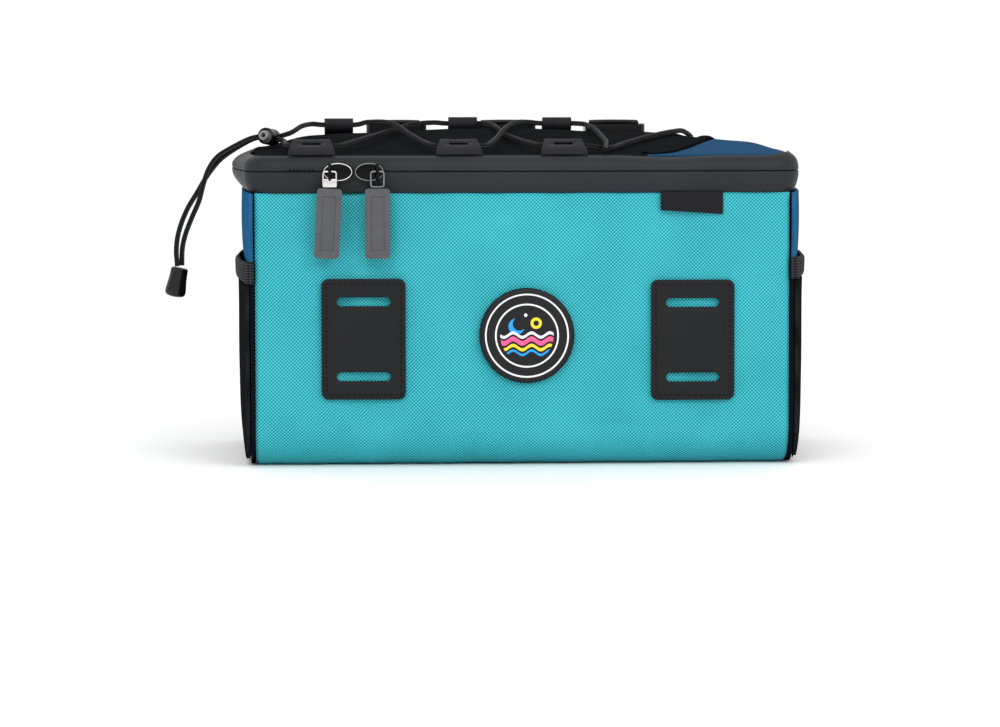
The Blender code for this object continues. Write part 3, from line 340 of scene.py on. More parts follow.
def seated(mesh, place, turn, sharp_degrees):
    """Weld a piece drawn round the origin, lay its plan flat, and turn it into its place."""
    shape = bmesh.new()
    shape.from_mesh(mesh)
    bmesh.ops.remove_doubles(shape, verts=shape.verts, dist=1e-6)
    bmesh.ops.recalc_face_normals(shape, faces=shape.faces)
    for layer in list(shape.loops.layers.uv):
        shape.loops.layers.uv.remove(layer)
    layer = shape.loops.layers.uv.new("flat")
    for face in shape.faces:
        for loop in face.loops:
            loop[layer].uv = loop.vert.co.xy
    shape.to_mesh(mesh)
    shape.free()
    mesh.transform(Matrix.Translation(Vector(place)) @ turn.to_4x4())
    mesh.shade_smooth()
    mesh.set_sharp_from_angle(angle=math.radians(sharp_degrees))
    return mesh


def turned(name, profile, steps, place, turn):
    """A round piece from (radius, height) rows, top first."""
    profile = np.array(profile)
    angles = np.linspace(0, math.tau, steps, endpoint=False)
    points = grid(profile[:, :1] * np.cos(angles), profile[:, :1] * np.sin(angles),
                  profile[:, 1:])
    wrap = np.concatenate((points, points[:, :1]), axis=1)
    return seated(cloth_mesh(name, points, wrap[:, :, :2], closed=True), place, turn, 35)


plastic = Finish("black_plastic", (0.004, 0.004, 0.005), 0.3, 0.3)
plastic.roughness(plastic.cloudy(0.003) * 0.14 + 0.16)
plastic.relief(plastic.cloudy(0.0006), 0.00003)
cap = make("plastic_cord_end",
           turned("cord_end", CORD_END, 56, np.array(CORD_END_PLACE) + SHIFT,
                  Matrix.Rotation(CORD_END_LEAN, 3, "Y")), plastic, ("cord_end",))
braid = Finish("braided_jacket", (0.008, 0.008, 0.009), 0.6, 0.08)
girth_way, length_way = braid.laid_flat()
strand = CORD_DIAMETER * math.pi / 4
ridges = ((girth_way + length_way).wave(strand) * (girth_way - length_way).wave(strand)).root()
# Painted highlights: thin light lines round the girth stand in for the shine along the cord.
painted_highlight = girth_way.wave(CORD_DIAMETER * math.pi / 3).step(0.9, 0.97)
braid.colour((0.003, 0.003, 0.003),
             (ridges * 0.7 + braid.cloudy(0.006) * 0.3, (0.018, 0.018, 0.019)),
             (painted_highlight * 0.6, (0.12, 0.12, 0.125)))
braid.roughness(0.75 - ridges * 0.25)
braid.relief(ridges, 0.00022)

for name, route, far, lay, ends in (
        ("lace_strand_left", LACE_LEFT, "object", "taut", ()),
        ("lace_strand_right", LACE_RIGHT, "object", "taut", ()),
        ("tail_strand_outer", TAIL_OUTER, "fitting", "hanging", (cap,)),
        ("tail_strand_inner", TAIL_INNER, "fitting", "hanging", (cap,))):
    line, length = smooth_line(route, CORD_STEP)
    elastic = make("elastic_" + name, tube(name, line, CORD_DIAMETER / 2), braid,
                   (name,))


# Main panel: one piece of teal woven polyester runs down the front, round under the base and a
# little way up the back. It is sewn to the ends along its turned edges, and dents a little.
HALF_WIDTH = 0.13325
HALF_DEPTH = 0.062
PANEL_HEIGHT = 0.1375
WALL = 0.0022
GAP = 0.0003
FRONT_LEAN = 0.0045
FRONT_BOW = 0.0015
FRONT_CURVE = 0.02
BACK_CURVE = 0.012
BACK_SEAM_HEIGHT = 0.018
TURNED_EDGE = 0.0032
BAND_DROP = 0.0008
PANEL_TOP = PANEL_HEIGHT - BAND_DROP
SAG_FADE = 0.004
EDGE_ROUND = 0.0016
FRONT_RIPPLE = 0.0004
FRONT_DENTS = [  # depth, middle across and up, reach across and up
    (0.0028, (-0.089, 0.112), (0.007, 0.03)), (0.0026, (-0.072, 0.108), (0.006, 0.024)),
    (0.0018, (0.074, 0.126), (0.01, 0.012)), (0.0012, (0.1, 0.118), (0.024, 0.006)),
    (0.0006, (-0.124, 0.08), (0.004, 0.06)), (0.0011, (0.05, 0.02), (0.06, 0.006))]
TWILL_PITCH = 0.00177
TEAL_LIGHT = (0.066, 0.545, 0.615)
TEAL_DARK = (0.001, 0.15, 0.18)


def front_y(x, z):
    return (-HALF_DEPTH - FRONT_LEAN * (1 - z / PANEL_HEIGHT)
            - FRONT_BOW * (1 - (x / HALF_WIDTH) ** 2))


def mound(x, y, middle, reach):
    """1 at its middle, and down to nothing smoothly past its reach across and along."""
    return np.exp(-((x - middle[0]) / reach[0]) ** 2 - ((y - middle[1]) / reach[1]) ** 2)


def front_sag(x, z):
    """How far the front cloth sinks in, in metres."""
    sag = FRONT_RIPPLE * (1 + np.sin(x * 190 + 9 * z) * np.sin(z * 75 + 1.3))
    return sag + sum(depth * mound(x, z, middle, reach) for depth, middle, reach in FRONT_DENTS)


def sew(kind, node, points, flat, finish, slot, wall, **form):
    """Make a cloth piece from a grid of points, in place of the node of that name."""
    return make(kind + "_" + node, cloth_mesh(node, points, flat, **form), finish,
                (node,), wall=wall)


front_curve_y = front_y(HALF_WIDTH, FRONT_CURVE)
profile = [(front_y(HALF_WIDTH, z), z, 1) for z in np.linspace(PANEL_TOP, FRONT_CURVE, 61)]
profile += [(front_curve_y + FRONT_CURVE * (1 - math.cos(a)), FRONT_CURVE * (1 - math.sin(a)),
             math.cos(a)) for a in np.linspace(0, math.pi / 2, 15)[1:]]
base_y = np.linspace(front_curve_y + FRONT_CURVE, HALF_DEPTH - BACK_CURVE, 31)
profile += [(y, 0, 0) for y in base_y[1:]]
profile += [(HALF_DEPTH - BACK_CURVE * (1 - math.sin(a)), BACK_CURVE * (1 - math.cos(a)), 0)
            for a in np.linspace(0, math.pi / 2, 10)[1:]]
profile += [(HALF_DEPTH, z, 0) for z in np.linspace(BACK_CURVE, BACK_SEAM_HEIGHT, 4)[1:]]
profile = np.array(profile)
run = run_along(profile[:, :2])
inward = np.gradient(profile[:, :2], axis=0)
inward = np.stack((-inward[:, 1], inward[:, 0]), axis=1)
inward /= np.linalg.norm(inward, axis=1)[:, None]
columns = np.linspace(-HALF_WIDTH, HALF_WIDTH, 125)
x = columns[None, :] + 0 * run[:, None]
depth, height, upright_share = profile[:, 0:1], profile[:, 1:2], profile[:, 2:3]
bow = upright_share * FRONT_BOW * (1 - (x / HALF_WIDTH) ** 2)
to_edge = HALF_WIDTH - np.abs(x)
edge = np.clip(1 - to_edge / TURNED_EDGE, 0, 1)
sink = front_sag(x, height) * upright_share * np.clip(to_edge / SAG_FADE, 0, 1)
sink += (EDGE_ROUND * (1 - np.sqrt(1 - 0.98 * edge ** 2))
         * np.clip((PANEL_HEIGHT - height) / SAG_FADE, 0, 1))
y = depth - bow + inward[:, 0:1] * sink
z = np.maximum(height + inward[:, 1:2] * sink, 0)

teal = Finish("teal_polyester", TEAL_LIGHT, 0.62, 0.12)
across, along = teal.laid_flat()
rising = (across + along).wave(TWILL_PITCH)
falling = (across - along).wave(TWILL_PITCH)
bead = rising * 0.55 + falling * 0.45
worn = teal.cloudy(0.03, 3.0)
light = (bead * 1.7 - 0.35) * 0.7 + worn * 0.3
# Painted shade: the teal is darkened where the cloth rounds under the base.
teal.colour(TEAL_DARK, (light - along.step(0.118, 0.145) * 0.12, TEAL_LIGHT))
teal.roughness(0.72 - bead * 0.2)
teal.relief(bead, 0.00018)

cloth = sew("cloth", "main_panel", grid(x, y, z) + SHIFT, grid(x, run[:, None]), teal,
            "teal_cloth", WALL, flip=True)


# Back panel: a flat piece of plain black polyester closes the bag behind and takes the strap
# loops. Close plain weave, sewn in along all four edges.
BACK_SLACK = 0.0006
BACK_FADE = 0.02

black = Finish("black_polyester", (0.012, 0.012, 0.013), 0.8, 0)
across, along = black.laid_flat()
weave = across.wave(0.0009) * along.wave(0.0009)
black.colour((0.004, 0.004, 0.005),
             (weave * 0.7 + black.cloudy(0.012) * 0.3, (0.024, 0.025, 0.027)))
black.roughness(0.85 - weave * 0.15)
black.relief(weave, 0.00012)

back_x = np.linspace(-HALF_WIDTH, HALF_WIDTH, 41)
back_z = np.linspace(BACK_SEAM_HEIGHT + GAP, PANEL_TOP, 25)
x, z = np.meshgrid(back_x, back_z)
slack = (np.clip((HALF_WIDTH - np.abs(x)) / BACK_FADE, 0, 1)
         * np.sin(math.pi * (z - back_z[0]) / (back_z[-1] - back_z[0])))
y = HALF_DEPTH - BACK_SLACK * slack * (1 + np.sin(x * 60) * np.sin(z * 47)) / 2
cloth = sew("cloth", "back_panel", grid(x, y, z) + SHIFT, grid(x, z), black, "black_cloth", WALL,
            flip=True)


# End panels: a ribbed blue polyester piece closes each end, sewn round its edge inside the main
# panel, with a dark bound seam. It swells a little above the pocket's hem.
SIDE_FACE = HALF_WIDTH + GAP + WALL
SIDE_SWELL = 0.0042
SIDE_SHARES = [(0, 0), (0.15, 0.03), (0.45, 0.06), (0.63, 0.1), (0.7, 0.45), (0.775, 0.86),
               (0.84, 0.97), (0.91, 1), (1, 0.95)]
HEM_SHARES = [(0, 0), (0.15, 0.03), (0.45, 0.06), (0.68, 0.1), (0.775, 0.2)]
FULLER_SIDE = {"left": 0.0008, "right": 0.0034}
SIDE_EDGE = 0.0022
SIDE_EDGE_ROUND = 0.0004
END_FULLNESS = 0.6
END_COLUMNS = 49
RIB_PITCH = 0.00088
COVERED_BELOW = 0.103
COVERED_BLACK = (0.006, 0.007, 0.01)
SIDES = (("left", -1), ("right", 1))


def read(table, share):
    """Read a table of (share, value) rows along a smooth curve."""
    keys, values = np.array(table).T
    share = np.clip(share, keys[0], keys[-1])
    slopes = np.gradient(values, keys)
    i = np.clip(np.searchsorted(keys, share, side="right") - 1, 0, len(keys) - 2)
    span = keys[i + 1] - keys[i]
    t = (share - keys[i]) / span
    return ((1 + 2 * t) * (1 - t) ** 2 * values[i] + t * (1 - t) ** 2 * span * slopes[i]
            + t * t * (3 - 2 * t) * values[i + 1] + t * t * (t - 1) * span * slopes[i + 1])


def rounding(curve, z):
    """How far the curve at a wall's foot draws the wall in at that height."""
    return curve - math.sqrt(curve ** 2 - max(curve - z, 0) ** 2)


def end_rows(heights, base, room, sign):
    """Points on an end at those heights, standing out from base by room(z) in the middle."""
    points = []
    for z in heights:
        front = front_y(HALF_WIDTH, max(z, FRONT_CURVE)) + rounding(FRONT_CURVE, z)
        back = HALF_DEPTH - rounding(BACK_CURVE, z)
        share = (1 - np.cos(np.linspace(0, math.pi, END_COLUMNS))) / 2
        out = base + room(z) * np.sin(math.pi * share) ** END_FULLNESS
        points.append(grid(sign * out, front + (back - front) * share, z))
    return np.array(points)


def side_room(z, side, shares=SIDE_SHARES):
    return (SIDE_SWELL + FULLER_SIDE[side]) * float(read(shares, z / PANEL_HEIGHT))


def ribbed(name, low, high, dark_below=-1):
    """Blue polyester with fine ribs, black below a height where the pocket is sewn over it."""
    cloth = Finish(name, high, 0.6, 0)
    across, along = cloth.laid_flat()
    rib = along.wave(RIB_PITCH)
    thread = across.wave(0.0013)
    cloth.colour(low, (rib * 0.75 + thread * 0.25, high),
                 (along.step(dark_below, dark_below - 0.001), COVERED_BLACK))
    cloth.roughness(0.75 - rib * 0.2)
    cloth.relief(rib * 0.8 + thread * 0.2, 0.00018)
    return cloth


blue = ribbed("blue_ribbed_polyester", (0.004, 0.05, 0.12), (0.035, 0.155, 0.32), COVERED_BELOW)
for side, sign in SIDES:
    heights = [0.0006] + list(np.linspace(0, PANEL_TOP, 71)[1:])
    points = end_rows(heights, SIDE_FACE, lambda z: side_room(z, side), sign)
    share = np.clip(1 - np.minimum(points[:, :, 1] - points[:, :1, 1],
                                   points[:, -1:, 1] - points[:, :, 1]) / SIDE_EDGE, 0, 1)
    points[:, :, 0] -= sign * SIDE_EDGE_ROUND * (1 - np.sqrt(1 - 0.98 * share ** 2))
    sew("cloth", "side_panel_" + side, points + SHIFT, points[:, :, 1:], blue, "blue_cloth", WALL,
        flip=sign < 0)


# Side pockets: a black polyester pocket covers the lower part of each end, and a wide ribbed
# elastic hem gathers its mouth. Both are sewn into the end's edge seam.
POCKET_HEIGHT = 0.093
POCKET_ROOM = 0.0049
POCKET_WALL = 0.0014
HEM_WALL = 0.002
POCKET_SHARES = [(0, 0.3), (0.18, 0.75), (0.5, 1), (0.85, 1), (1, 1)]
POCKET_FOOT = 0.0042
POCKET_FOLD = 0.0004
HEM_DROP = {"left": 0.0017, "right": 0}
HEM_SEEN = 0.0115
HEM_PITCH = 0.00135
HEM_RIB = 0.00018
HEM_CHAMFER = (0.0017, 0.0018)  # depth and run
TAPE_WALL = 0.0006

elastic_hem = Finish("ribbed_elastic", (0.02, 0.02, 0.022), 0.7, 0.04)
across, along = elastic_hem.laid_flat()
gathered = along.wave(HEM_PITCH) * 0.7 + across.wave(0.0022) * 0.3
elastic_hem.colour((0.004, 0.004, 0.005), (gathered, (0.05, 0.05, 0.053)))
elastic_hem.relief(gathered, 0.0003)


def pocket_room(z, side):
    return (side_room(z, side, HEM_SHARES) + (0.76 * POCKET_ROOM + 0.8 * FULLER_SIDE[side])
            * float(read(POCKET_SHARES, z / POCKET_HEIGHT)))


def turned_in(points, sign):
    """The grid with both upright edges turned in to the end panel, where they are sewn."""
    front, back = points[:, :1].copy(), points[:, -1:].copy()
    front[:, :, 0] = back[:, :, 0] = sign * (SIDE_FACE + GAP)
    return np.concatenate((front, points, back), axis=1) + SHIFT


for side, sign in SIDES:
    base = SIDE_FACE + GAP * 2 + POCKET_WALL
    mouth = POCKET_HEIGHT - HEM_DROP[side]
    heights = np.linspace(POCKET_FOOT, mouth, 50)
    points = end_rows(heights, base, lambda z: pocket_room(z, side), sign)
    across_share = (points[:, :, 1] + HALF_DEPTH) / (2 * HALF_DEPTH)
    folds = (POCKET_FOLD * np.sin(across_share * 17)
             * np.sin(np.clip(across_share, 0, 1) * math.pi))
    points[:, :, 0] -= sign * np.abs(folds) * np.sin(np.linspace(0.2, 2.9, 50))[:, None]
    foot = points[:1].copy()
    foot[:, :, 0] = sign * (SIDE_FACE + GAP)
    points = turned_in(np.concatenate((foot, points)), sign)
    sew("cloth", "side_pocket_" + side, points, points[:, :, 1:], black, "black_cloth",
        POCKET_WALL, flip=sign < 0)
    low, high = mouth + GAP * 2, mouth + HEM_SEEN
    heights = np.linspace(low, high, 81)
    ribs = HEM_RIB * (1 - np.cos((heights - low) / HEM_PITCH * math.tau))
    to_fold = np.minimum(heights - low, high - heights)
    chamfer = HEM_CHAMFER[0] * np.clip(1 - to_fold / HEM_CHAMFER[1], 0, 1)
    hem_base = base + HEM_WALL - POCKET_WALL - 0.0004
    points = end_rows(heights, hem_base,
                      lambda z: (side_room(z, side, HEM_SHARES) + POCKET_ROOM
                                 + 0.8 * FULLER_SIDE[side]), sign)
    middle = np.clip(3 * np.sin(math.pi * np.linspace(0, 1, points.shape[1])), 0, 1) ** 2
    points[:, :, 0] -= sign * (ribs + chamfer)[:, None] * middle
    points = turned_in(points, sign)
    sew("elastic", "pocket_hem_" + side, points, points[:, :, 1:], elastic_hem, "black_cloth",
        TAPE_WALL * 2, flip=sign < 0)
    tape_x = sign * (SIDE_FACE + GAP * 1.5 - np.array([0, 0.0008, 0.0016, 0.0024]))
    tape_z = heights[2:-2, None]
    tape_y = front_y(HALF_WIDTH, tape_z) - TAPE_WALL * 1.5 + ribs[2:-2, None]
    tape = grid(tape_x, tape_y, tape_z)
    make("elastic_hem_end_" + side,
         cloth_mesh("hem_end_" + side, tape + SHIFT, tape[:, :, ::2], flip=sign > 0),
         elastic_hem, (), wall=TAPE_WALL)


# Zip band: two soft rolls of black coated cloth meet along a coated zip, all round the top. The
# coating is welded on, so the band is smooth and satin, with a short row of stitches at the left.
BAND_BASE = PANEL_HEIGHT + GAP
BAND_HEIGHT = 0.0175
BAND_TOP = BAND_BASE + BAND_HEIGHT
BAND_ROLL = 0.003
BAND_CORNER = 0.01
BAND_SIDE_SWELL = 0.003
BACK_FACE = HALF_DEPTH + GAP + WALL
LEFT_SLUMP = 0.0036
ZIP_SHARE = 0.56
BAND_SHARES = [(0, 0.1), (0.12, 0.55), (0.38, 1.04), (0.56, 1.06), (0.72, 1), (0.9, 0.4),
               (1, -0.6)]
SLUMP_SHARES = [(0, 0), (0.38, 0.95), (0.56, 1), (0.72, 0.97), (0.88, 0.5), (1, 0)]
BAND_CLOTH = 0.0022
BAND_WAVES = [(0.0015, 0.134, 0.007), (-0.001, 0.073, 0.018)]  # rise, middle, reach
STITCH_HEIGHT = 0.0106


def band_ring(share, tuck):
    """The band's plan at a share of its height, tuck metres inside its full form."""
    offset = BAND_ROLL * float(read(BAND_SHARES, share)) - tuck
    half_w, front, back = SIDE_FACE + offset, HALF_DEPTH + offset, BACK_FACE + offset
    corner = BAND_CORNER + offset
    slump = LEFT_SLUMP * float(read(SLUMP_SHARES, share))
    steps = np.linspace(0, 1, 90, endpoint=False)
    x = (half_w - corner) * (2 * steps - 1)
    ring = [grid(x, -front - FRONT_BOW * (1 - (x / HALF_WIDTH) ** 2))]
    turn = np.radians(np.linspace(0, 90, 10, endpoint=False))
    swell = np.linspace(0, 1, 30, endpoint=False)

    def arc(cx, cy, start):
        angle = turn + math.radians(start)
        return grid(cx + corner * np.cos(angle), cy + corner * np.sin(angle))

    def end(start, finish, bow, sign):
        return grid(sign * (half_w + bow * np.sin(math.pi * swell)),
                    start + (finish - start) * swell)

    ring.append(arc(half_w - corner, -front + corner, -90))
    ring.append(end(-front + corner, back - corner, BAND_SIDE_SWELL, 1))
    ring.append(arc(half_w - corner, back - corner, 0))
    steps = np.linspace(0, 1, 45, endpoint=False)
    ring.append(grid((half_w - corner) * (1 - 2 * steps), back))
    ring.append(arc(-half_w + corner, back - corner, 90))
    ring.append(end(back - corner, -front + corner, BAND_SIDE_SWELL + slump, -1))
    ring.append(arc(-half_w + corner, -front + corner, 180))
    ring = np.vstack(ring)
    drop = (BAND_DROP + 0.0002) * max(0, 1 - share / 0.4)
    return np.column_stack((ring, np.full(len(ring), BAND_BASE + BAND_HEIGHT * share - drop)))


coated = Finish("coated_cloth", (0.018, 0.019, 0.022), 0.42, 0.12)
across, along = coated.laid_flat()
patchy = coated.cloudy(0.035, 3.0)
grain = coated.cloudy(0.0009)
stitched = across.step(0.008, 0.0095) * across.step(0.0232, 0.022)
stitch = ((along - STITCH_HEIGHT).size().step(0.00065, 0.0004)
          * across.wave(0.0019).step(0.35, 0.6) * stitched)
coated.colour((0.013, 0.0135, 0.016), (patchy * 0.8 + grain * 0.2, (0.028, 0.029, 0.033)),
              (stitch, (0.001, 0.001, 0.001)))
coated.roughness(patchy * 0.16 + 0.38)
coated.relief(grain * 0.4 + (1 - stitch) * 0.6, 0.00016)

LIP = 0.5 * GAP / BAND_HEIGHT + 0.001
for name, rows in (
        ("lower", [(0, 0.0004), (0.02, 0.0001), (0.06, 0), (0.12, 0), (0.2, 0), (0.29, 0),
                   (0.38, 0), (0.46, 0), (0.51, 0), (ZIP_SHARE - 0.03, 0.00005),
                   (ZIP_SHARE - LIP, 0.0004)]),
        ("upper", [(ZIP_SHARE + LIP, 0.0003), (ZIP_SHARE + 0.022, 0.00005), (0.62, 0), (0.67, 0),
                   (0.72, 0), (0.78, 0), (0.84, 0), (0.9, 0), (0.95, 0), (1, 0)])):
    rings = np.array([band_ring(share, tuck) for share, tuck in rows])
    way = np.arange(rings.shape[1])
    waver = 0.00022 * np.sin(way * 0.11) + 0.00018 * np.sin(way * 0.057 + 1)
    fade = np.sin(np.linspace(0.25, math.pi - 0.25, len(rows)))[:, None]
    outward = rings - rings.mean(axis=1, keepdims=True)
    outward[:, :, 2] = 0
    outward /= np.linalg.norm(outward, axis=2, keepdims=True)
    rings -= outward * (np.abs(waver) * fade)[:, :, None]
    x, front = rings[:, :, 0], np.clip(-rings[:, :, 1] / 0.02 - 1, 0, 1)
    shares = np.array(rows)[:, :1]
    upper = np.clip(shares * 2.5 - 1.5, 0, 1)
    for rise, middle, reach in BAND_WAVES:
        rings[:, :, 2] += upper * front * rise * np.exp(-((x - middle) / reach) ** 2)
    flat = grid(run_along(np.vstack((rings[0], rings[0][:1]))), BAND_HEIGHT * shares)
    sew("coated", "zip_band_" + name, rings + SHIFT, flat, coated, "coated_black", BAND_CLOTH,
        closed=True)


# Lid: black polyester over the top with a blue ribbed corner at the right, joined along a
# slanting felled seam. The cloth is soft, so it lies in low folds between what it covers.
LID_WALL = 0.002
LID_RISE = 0.0102
LID_CORNER = 0.0085
LID_INSET = 0.0036
SEAM_FRONT_X = 0.061
SEAM_REAR_X = 0.1125
LID_FRONT = HALF_DEPTH - LID_INSET
LID_BACK = BACK_FACE - LID_INSET
LID_DEPTH = LID_FRONT + LID_BACK
LID_HALF_WIDTH = SIDE_FACE - LID_INSET
LID_EDGE = BAND_TOP + GAP
LID_FOLD = 0.00042
LID_FADE = 0.02
SEAM_PUCKER = (0.0007, 0.0012)  # depth, reach
CORNER_BUMP = (0.0022, (0.085, 0.049), (0.0075, 0.0045))  # rise, middle, reach
LID_ACROSS = [(-1, 0), (-0.93, 0.16), (-0.84, 0.52), (-0.7, 0.74), (-0.55, 0.8),
              (-0.3, 0.96), (0.1, 1), (0.3, 0.86), (0.45, 0.85), (0.54, 0.8), (0.64, 0.69),
              (0.725, 0.54), (0.8, 0.43), (0.86, 0.36), (0.94, 0.24), (1, 0)]
LID_ALONG = [(0, 0), (0.1, 0.02), (0.2, 0.07), (0.35, 0.24), (0.5, 0.48), (0.7, 0.88),
             (0.8, 1), (0.88, 0.8), (0.95, 0.42), (1, 0)]


def lid_z(x, y):
    rise = (read(LID_ALONG, (y + LID_FRONT) / LID_DEPTH)
            * read(LID_ACROSS, x / (LID_HALF_WIDTH + BAND_SIDE_SWELL)))
    return LID_EDGE + LID_RISE * rise


def lid_folds(x, y):
    """Low folds that only sink, so that the cloth stays clear of the cord."""
    inside = np.clip(np.minimum(y + LID_FRONT, LID_BACK - y) / LID_FADE, 0, 1)
    inside = inside * np.clip((LID_HALF_WIDTH - np.abs(x)) / LID_FADE, 0, 1)
    fold = np.sin(x * 170 + 40 * y) * np.sin(y * 90 + 2.1) + 0.5 * np.sin(x * 330 - 120 * y)
    return LID_FOLD * inside * (1.5 + fold) / 3


rows = np.concatenate(([0, 0.008, 0.02, 0.035], np.linspace(0.05, 0.95, 55), [0.97, 0.985, 1]))
lid_y = -LID_FRONT + LID_DEPTH * rows
end = np.minimum(rows, 1 - rows) * LID_DEPTH
corner = np.where(end < LID_CORNER,
                  LID_CORNER - np.sqrt(LID_CORNER ** 2 - np.clip(LID_CORNER - end, 0, None) ** 2),
                  0)
reach = LID_HALF_WIDTH + 0.8 * BAND_SIDE_SWELL * np.sin(math.pi * rows) - corner
seam = SEAM_FRONT_X + (SEAM_REAR_X - SEAM_FRONT_X) * rows ** 0.7
# Painted shade: the lid's blue is a darker copy of the ribbed blue cloth, as the lid faces the
# light above.
lid_blue_painted_shade = ribbed("blue_polyester_painted_shade", (0.009, 0.045, 0.1), (0.042, 0.105, 0.205))
y = lid_y[:, None]
for name, left, right, count, finish, slot in (
        ("lid_panel", -reach, seam - GAP / 2, 91, black, "black_cloth"),
        ("lid_panel_blue", seam + GAP, reach, 41, lid_blue_painted_shade, "blue_cloth")):
    share = np.linspace(0, 1, count)[None, :]
    x = left[:, None] + (right - left)[:, None] * share
    seam_way = np.abs(x - seam[:, None])
    z = lid_z(x, y) - lid_folds(x, y) - SEAM_PUCKER[0] * np.exp(-(seam_way / SEAM_PUCKER[1]) ** 2)
    z += CORNER_BUMP[0] * mound(x, y, *CORNER_BUMP[1:])
    points = grid(x, y, z)
    sew("cloth", name, points + SHIFT, points[:, :, :2], finish, slot, LID_WALL)

fell = np.array([-0.0052, -0.0048, -0.0034, -0.0018, -0.0007, -0.0004])
lift = np.array([0.0003, 0.0009, 0.0012, 0.0013, 0.0009, 0.0003])
keep = slice(2, -2)
x = seam[keep, None] + fell
points = grid(x, y[keep], lid_z(x, y[keep]) + lift) + SHIFT
make("cloth_felled_seam", cloth_mesh("felled_seam", points, points[:, :, :2]), black,
     ())


# Strap patches: two stiff coated patches with a pair of slots each take a lamp's or a roll's
# strap. Die-cut, with pressed edges, and sewn on with a row of stitches round the edge.
PATCH_WIDTH = 0.0418
PATCH_HEIGHT = 0.06
PATCH_CORNER = 0.0035
PATCH_WALL = 0.0018
PATCH_SLOT = (0.0268, 0.0044, 0.0186)  # width, height, rise from the middle
PATCH_SEAM = 0.0024
PATCH_BLACK = (0.007, 0.0072, 0.0085)
PATCH_SHARES = {"left": (-0.59662, 0.46909), "right": (0.63415, 0.46182)}
FRONT_TILT = math.atan(FRONT_LEAN / PANEL_HEIGHT)


def rounded(width, height, radius, steps=8, at=(0, 0)):
    """A rectangle with rounded corners, as a list of points round it."""
    points = []
    for quarter in range(4):
        cx = at[0] + (width / 2 - radius) * (1 if quarter in (0, 3) else -1)
        cy = at[1] + (height / 2 - radius) * (1 if quarter in (0, 1) else -1)
        for step in range(steps + 1):
            angle = math.pi / 2 * (quarter + step / steps)
            points.append((cx + radius * math.cos(angle), cy + radius * math.sin(angle)))
    return points


def plate_mesh(name, outlines, thickness, edge, place, turn):
    """A plate with rounded edges cut from outlines, the later ones holes."""
    drawing = bpy.data.curves.new(name, "CURVE")
    drawing.dimensions = "2D"
    drawing.fill_mode = "BOTH"
    drawing.extrude = thickness / 2 - edge
    drawing.bevel_depth = edge
    drawing.bevel_resolution = 2
    drawing.offset = -edge
    for outline in outlines:
        spline = drawing.splines.new("POLY")
        spline.points.add(len(outline) - 1)
        for point, (x, y) in zip(spline.points, outline):
            point.co = (x, y, 0, 1)
        spline.use_cyclic_u = True
    carrier = bpy.data.objects.new(name, drawing)
    add_to_scene(carrier)
    bpy.context.view_layer.update()
    cut = carrier.evaluated_get(bpy.context.evaluated_depsgraph_get())
    mesh = bpy.data.meshes.new_from_object(cut)
    bpy.data.objects.remove(carrier, do_unlink=True)
    return seated(mesh, place, turn, 40)


def front_seat(shares, lift):
    """Place and turn of a flat piece whose middle stands lift metres off the front."""
    x, z = HALF_WIDTH * shares[0], PANEL_HEIGHT * shares[1]
    slope = math.atan(2 * FRONT_BOW * x / HALF_WIDTH ** 2)
    turn = Matrix.Rotation(slope, 3, "Z") @ Matrix.Rotation(math.pi / 2 - FRONT_TILT, 3, "X")
    return Vector((x, front_y(x, z) - lift, z)) + Vector(SHIFT), turn


patch = Finish("patch_rubber", (0.009, 0.009, 0.011), 0.55, 0.15)
across, along = patch.laid_flat()
from_edge = (PATCH_WIDTH / 2 - across.size()).least(PATCH_HEIGHT / 2 - along.size())
stitch = ((from_edge - PATCH_SEAM).size().step(0.0006, 0.0003)
          * (across + along).wave(0.003).step(0.3, 0.5))
grain = patch.cloudy(0.0006)
patch.colour(PATCH_BLACK, (patch.cloudy(0.02), (0.011, 0.0112, 0.013)),
             (stitch * 0.85, (0.001, 0.001, 0.002)))
patch.roughness(grain * 0.15 + 0.5)
patch.relief(grain * 0.2 + (1 - stitch) * 0.6, 0.0002)

for side, shares in PATCH_SHARES.items():
    place, turn = front_seat(shares, GAP * 2 + PATCH_WALL / 2)
    outlines = [rounded(PATCH_WIDTH, PATCH_HEIGHT, PATCH_CORNER)]
    outlines += [rounded(PATCH_SLOT[0], PATCH_SLOT[1], PATCH_SLOT[1] / 2.1, 6, (0, rise))
                 for rise in (PATCH_SLOT[2], -PATCH_SLOT[2])]
    make("rubber_patch_" + side,
         plate_mesh("patch_" + side, outlines, PATCH_WALL, 0.00045, place, turn),
         patch, ("patch_" + side,))


# Badge: a moulded rubber disc with a raised rim is glued to the middle of the front. Two white
# rings frame a plain picture of a moon and a sun over waves, moulded in bright colours.
BADGE_RADIUS = 0.0237
BADGE_SHARES = (0.01201, 0.48)
BADGE_WALL = 0.0024
BADGE_RIM = 0.0008
RINGS = (0.0205, 0.0155)
PICTURE_RADIUS = 0.0134
INK, WHITE = (0.008, 0.008, 0.01), (0.85, 0.87, 0.9)
BLUE, YELLOW, PINK = (0.02, 0.3, 0.72), (0.95, 0.62, 0.03), (0.9, 0.1, 0.28)
badge = Finish("badge_rubber", (0.006, 0.006, 0.008), 0.45, 0.2)
across, along = badge.laid_flat()


def spot(x, y, size):
    """A round mark on the badge."""
    return (((across - x) * (across - x) + (along - y) * (along - y)).root()
            .step(size + 0.00015, size - 0.00015))


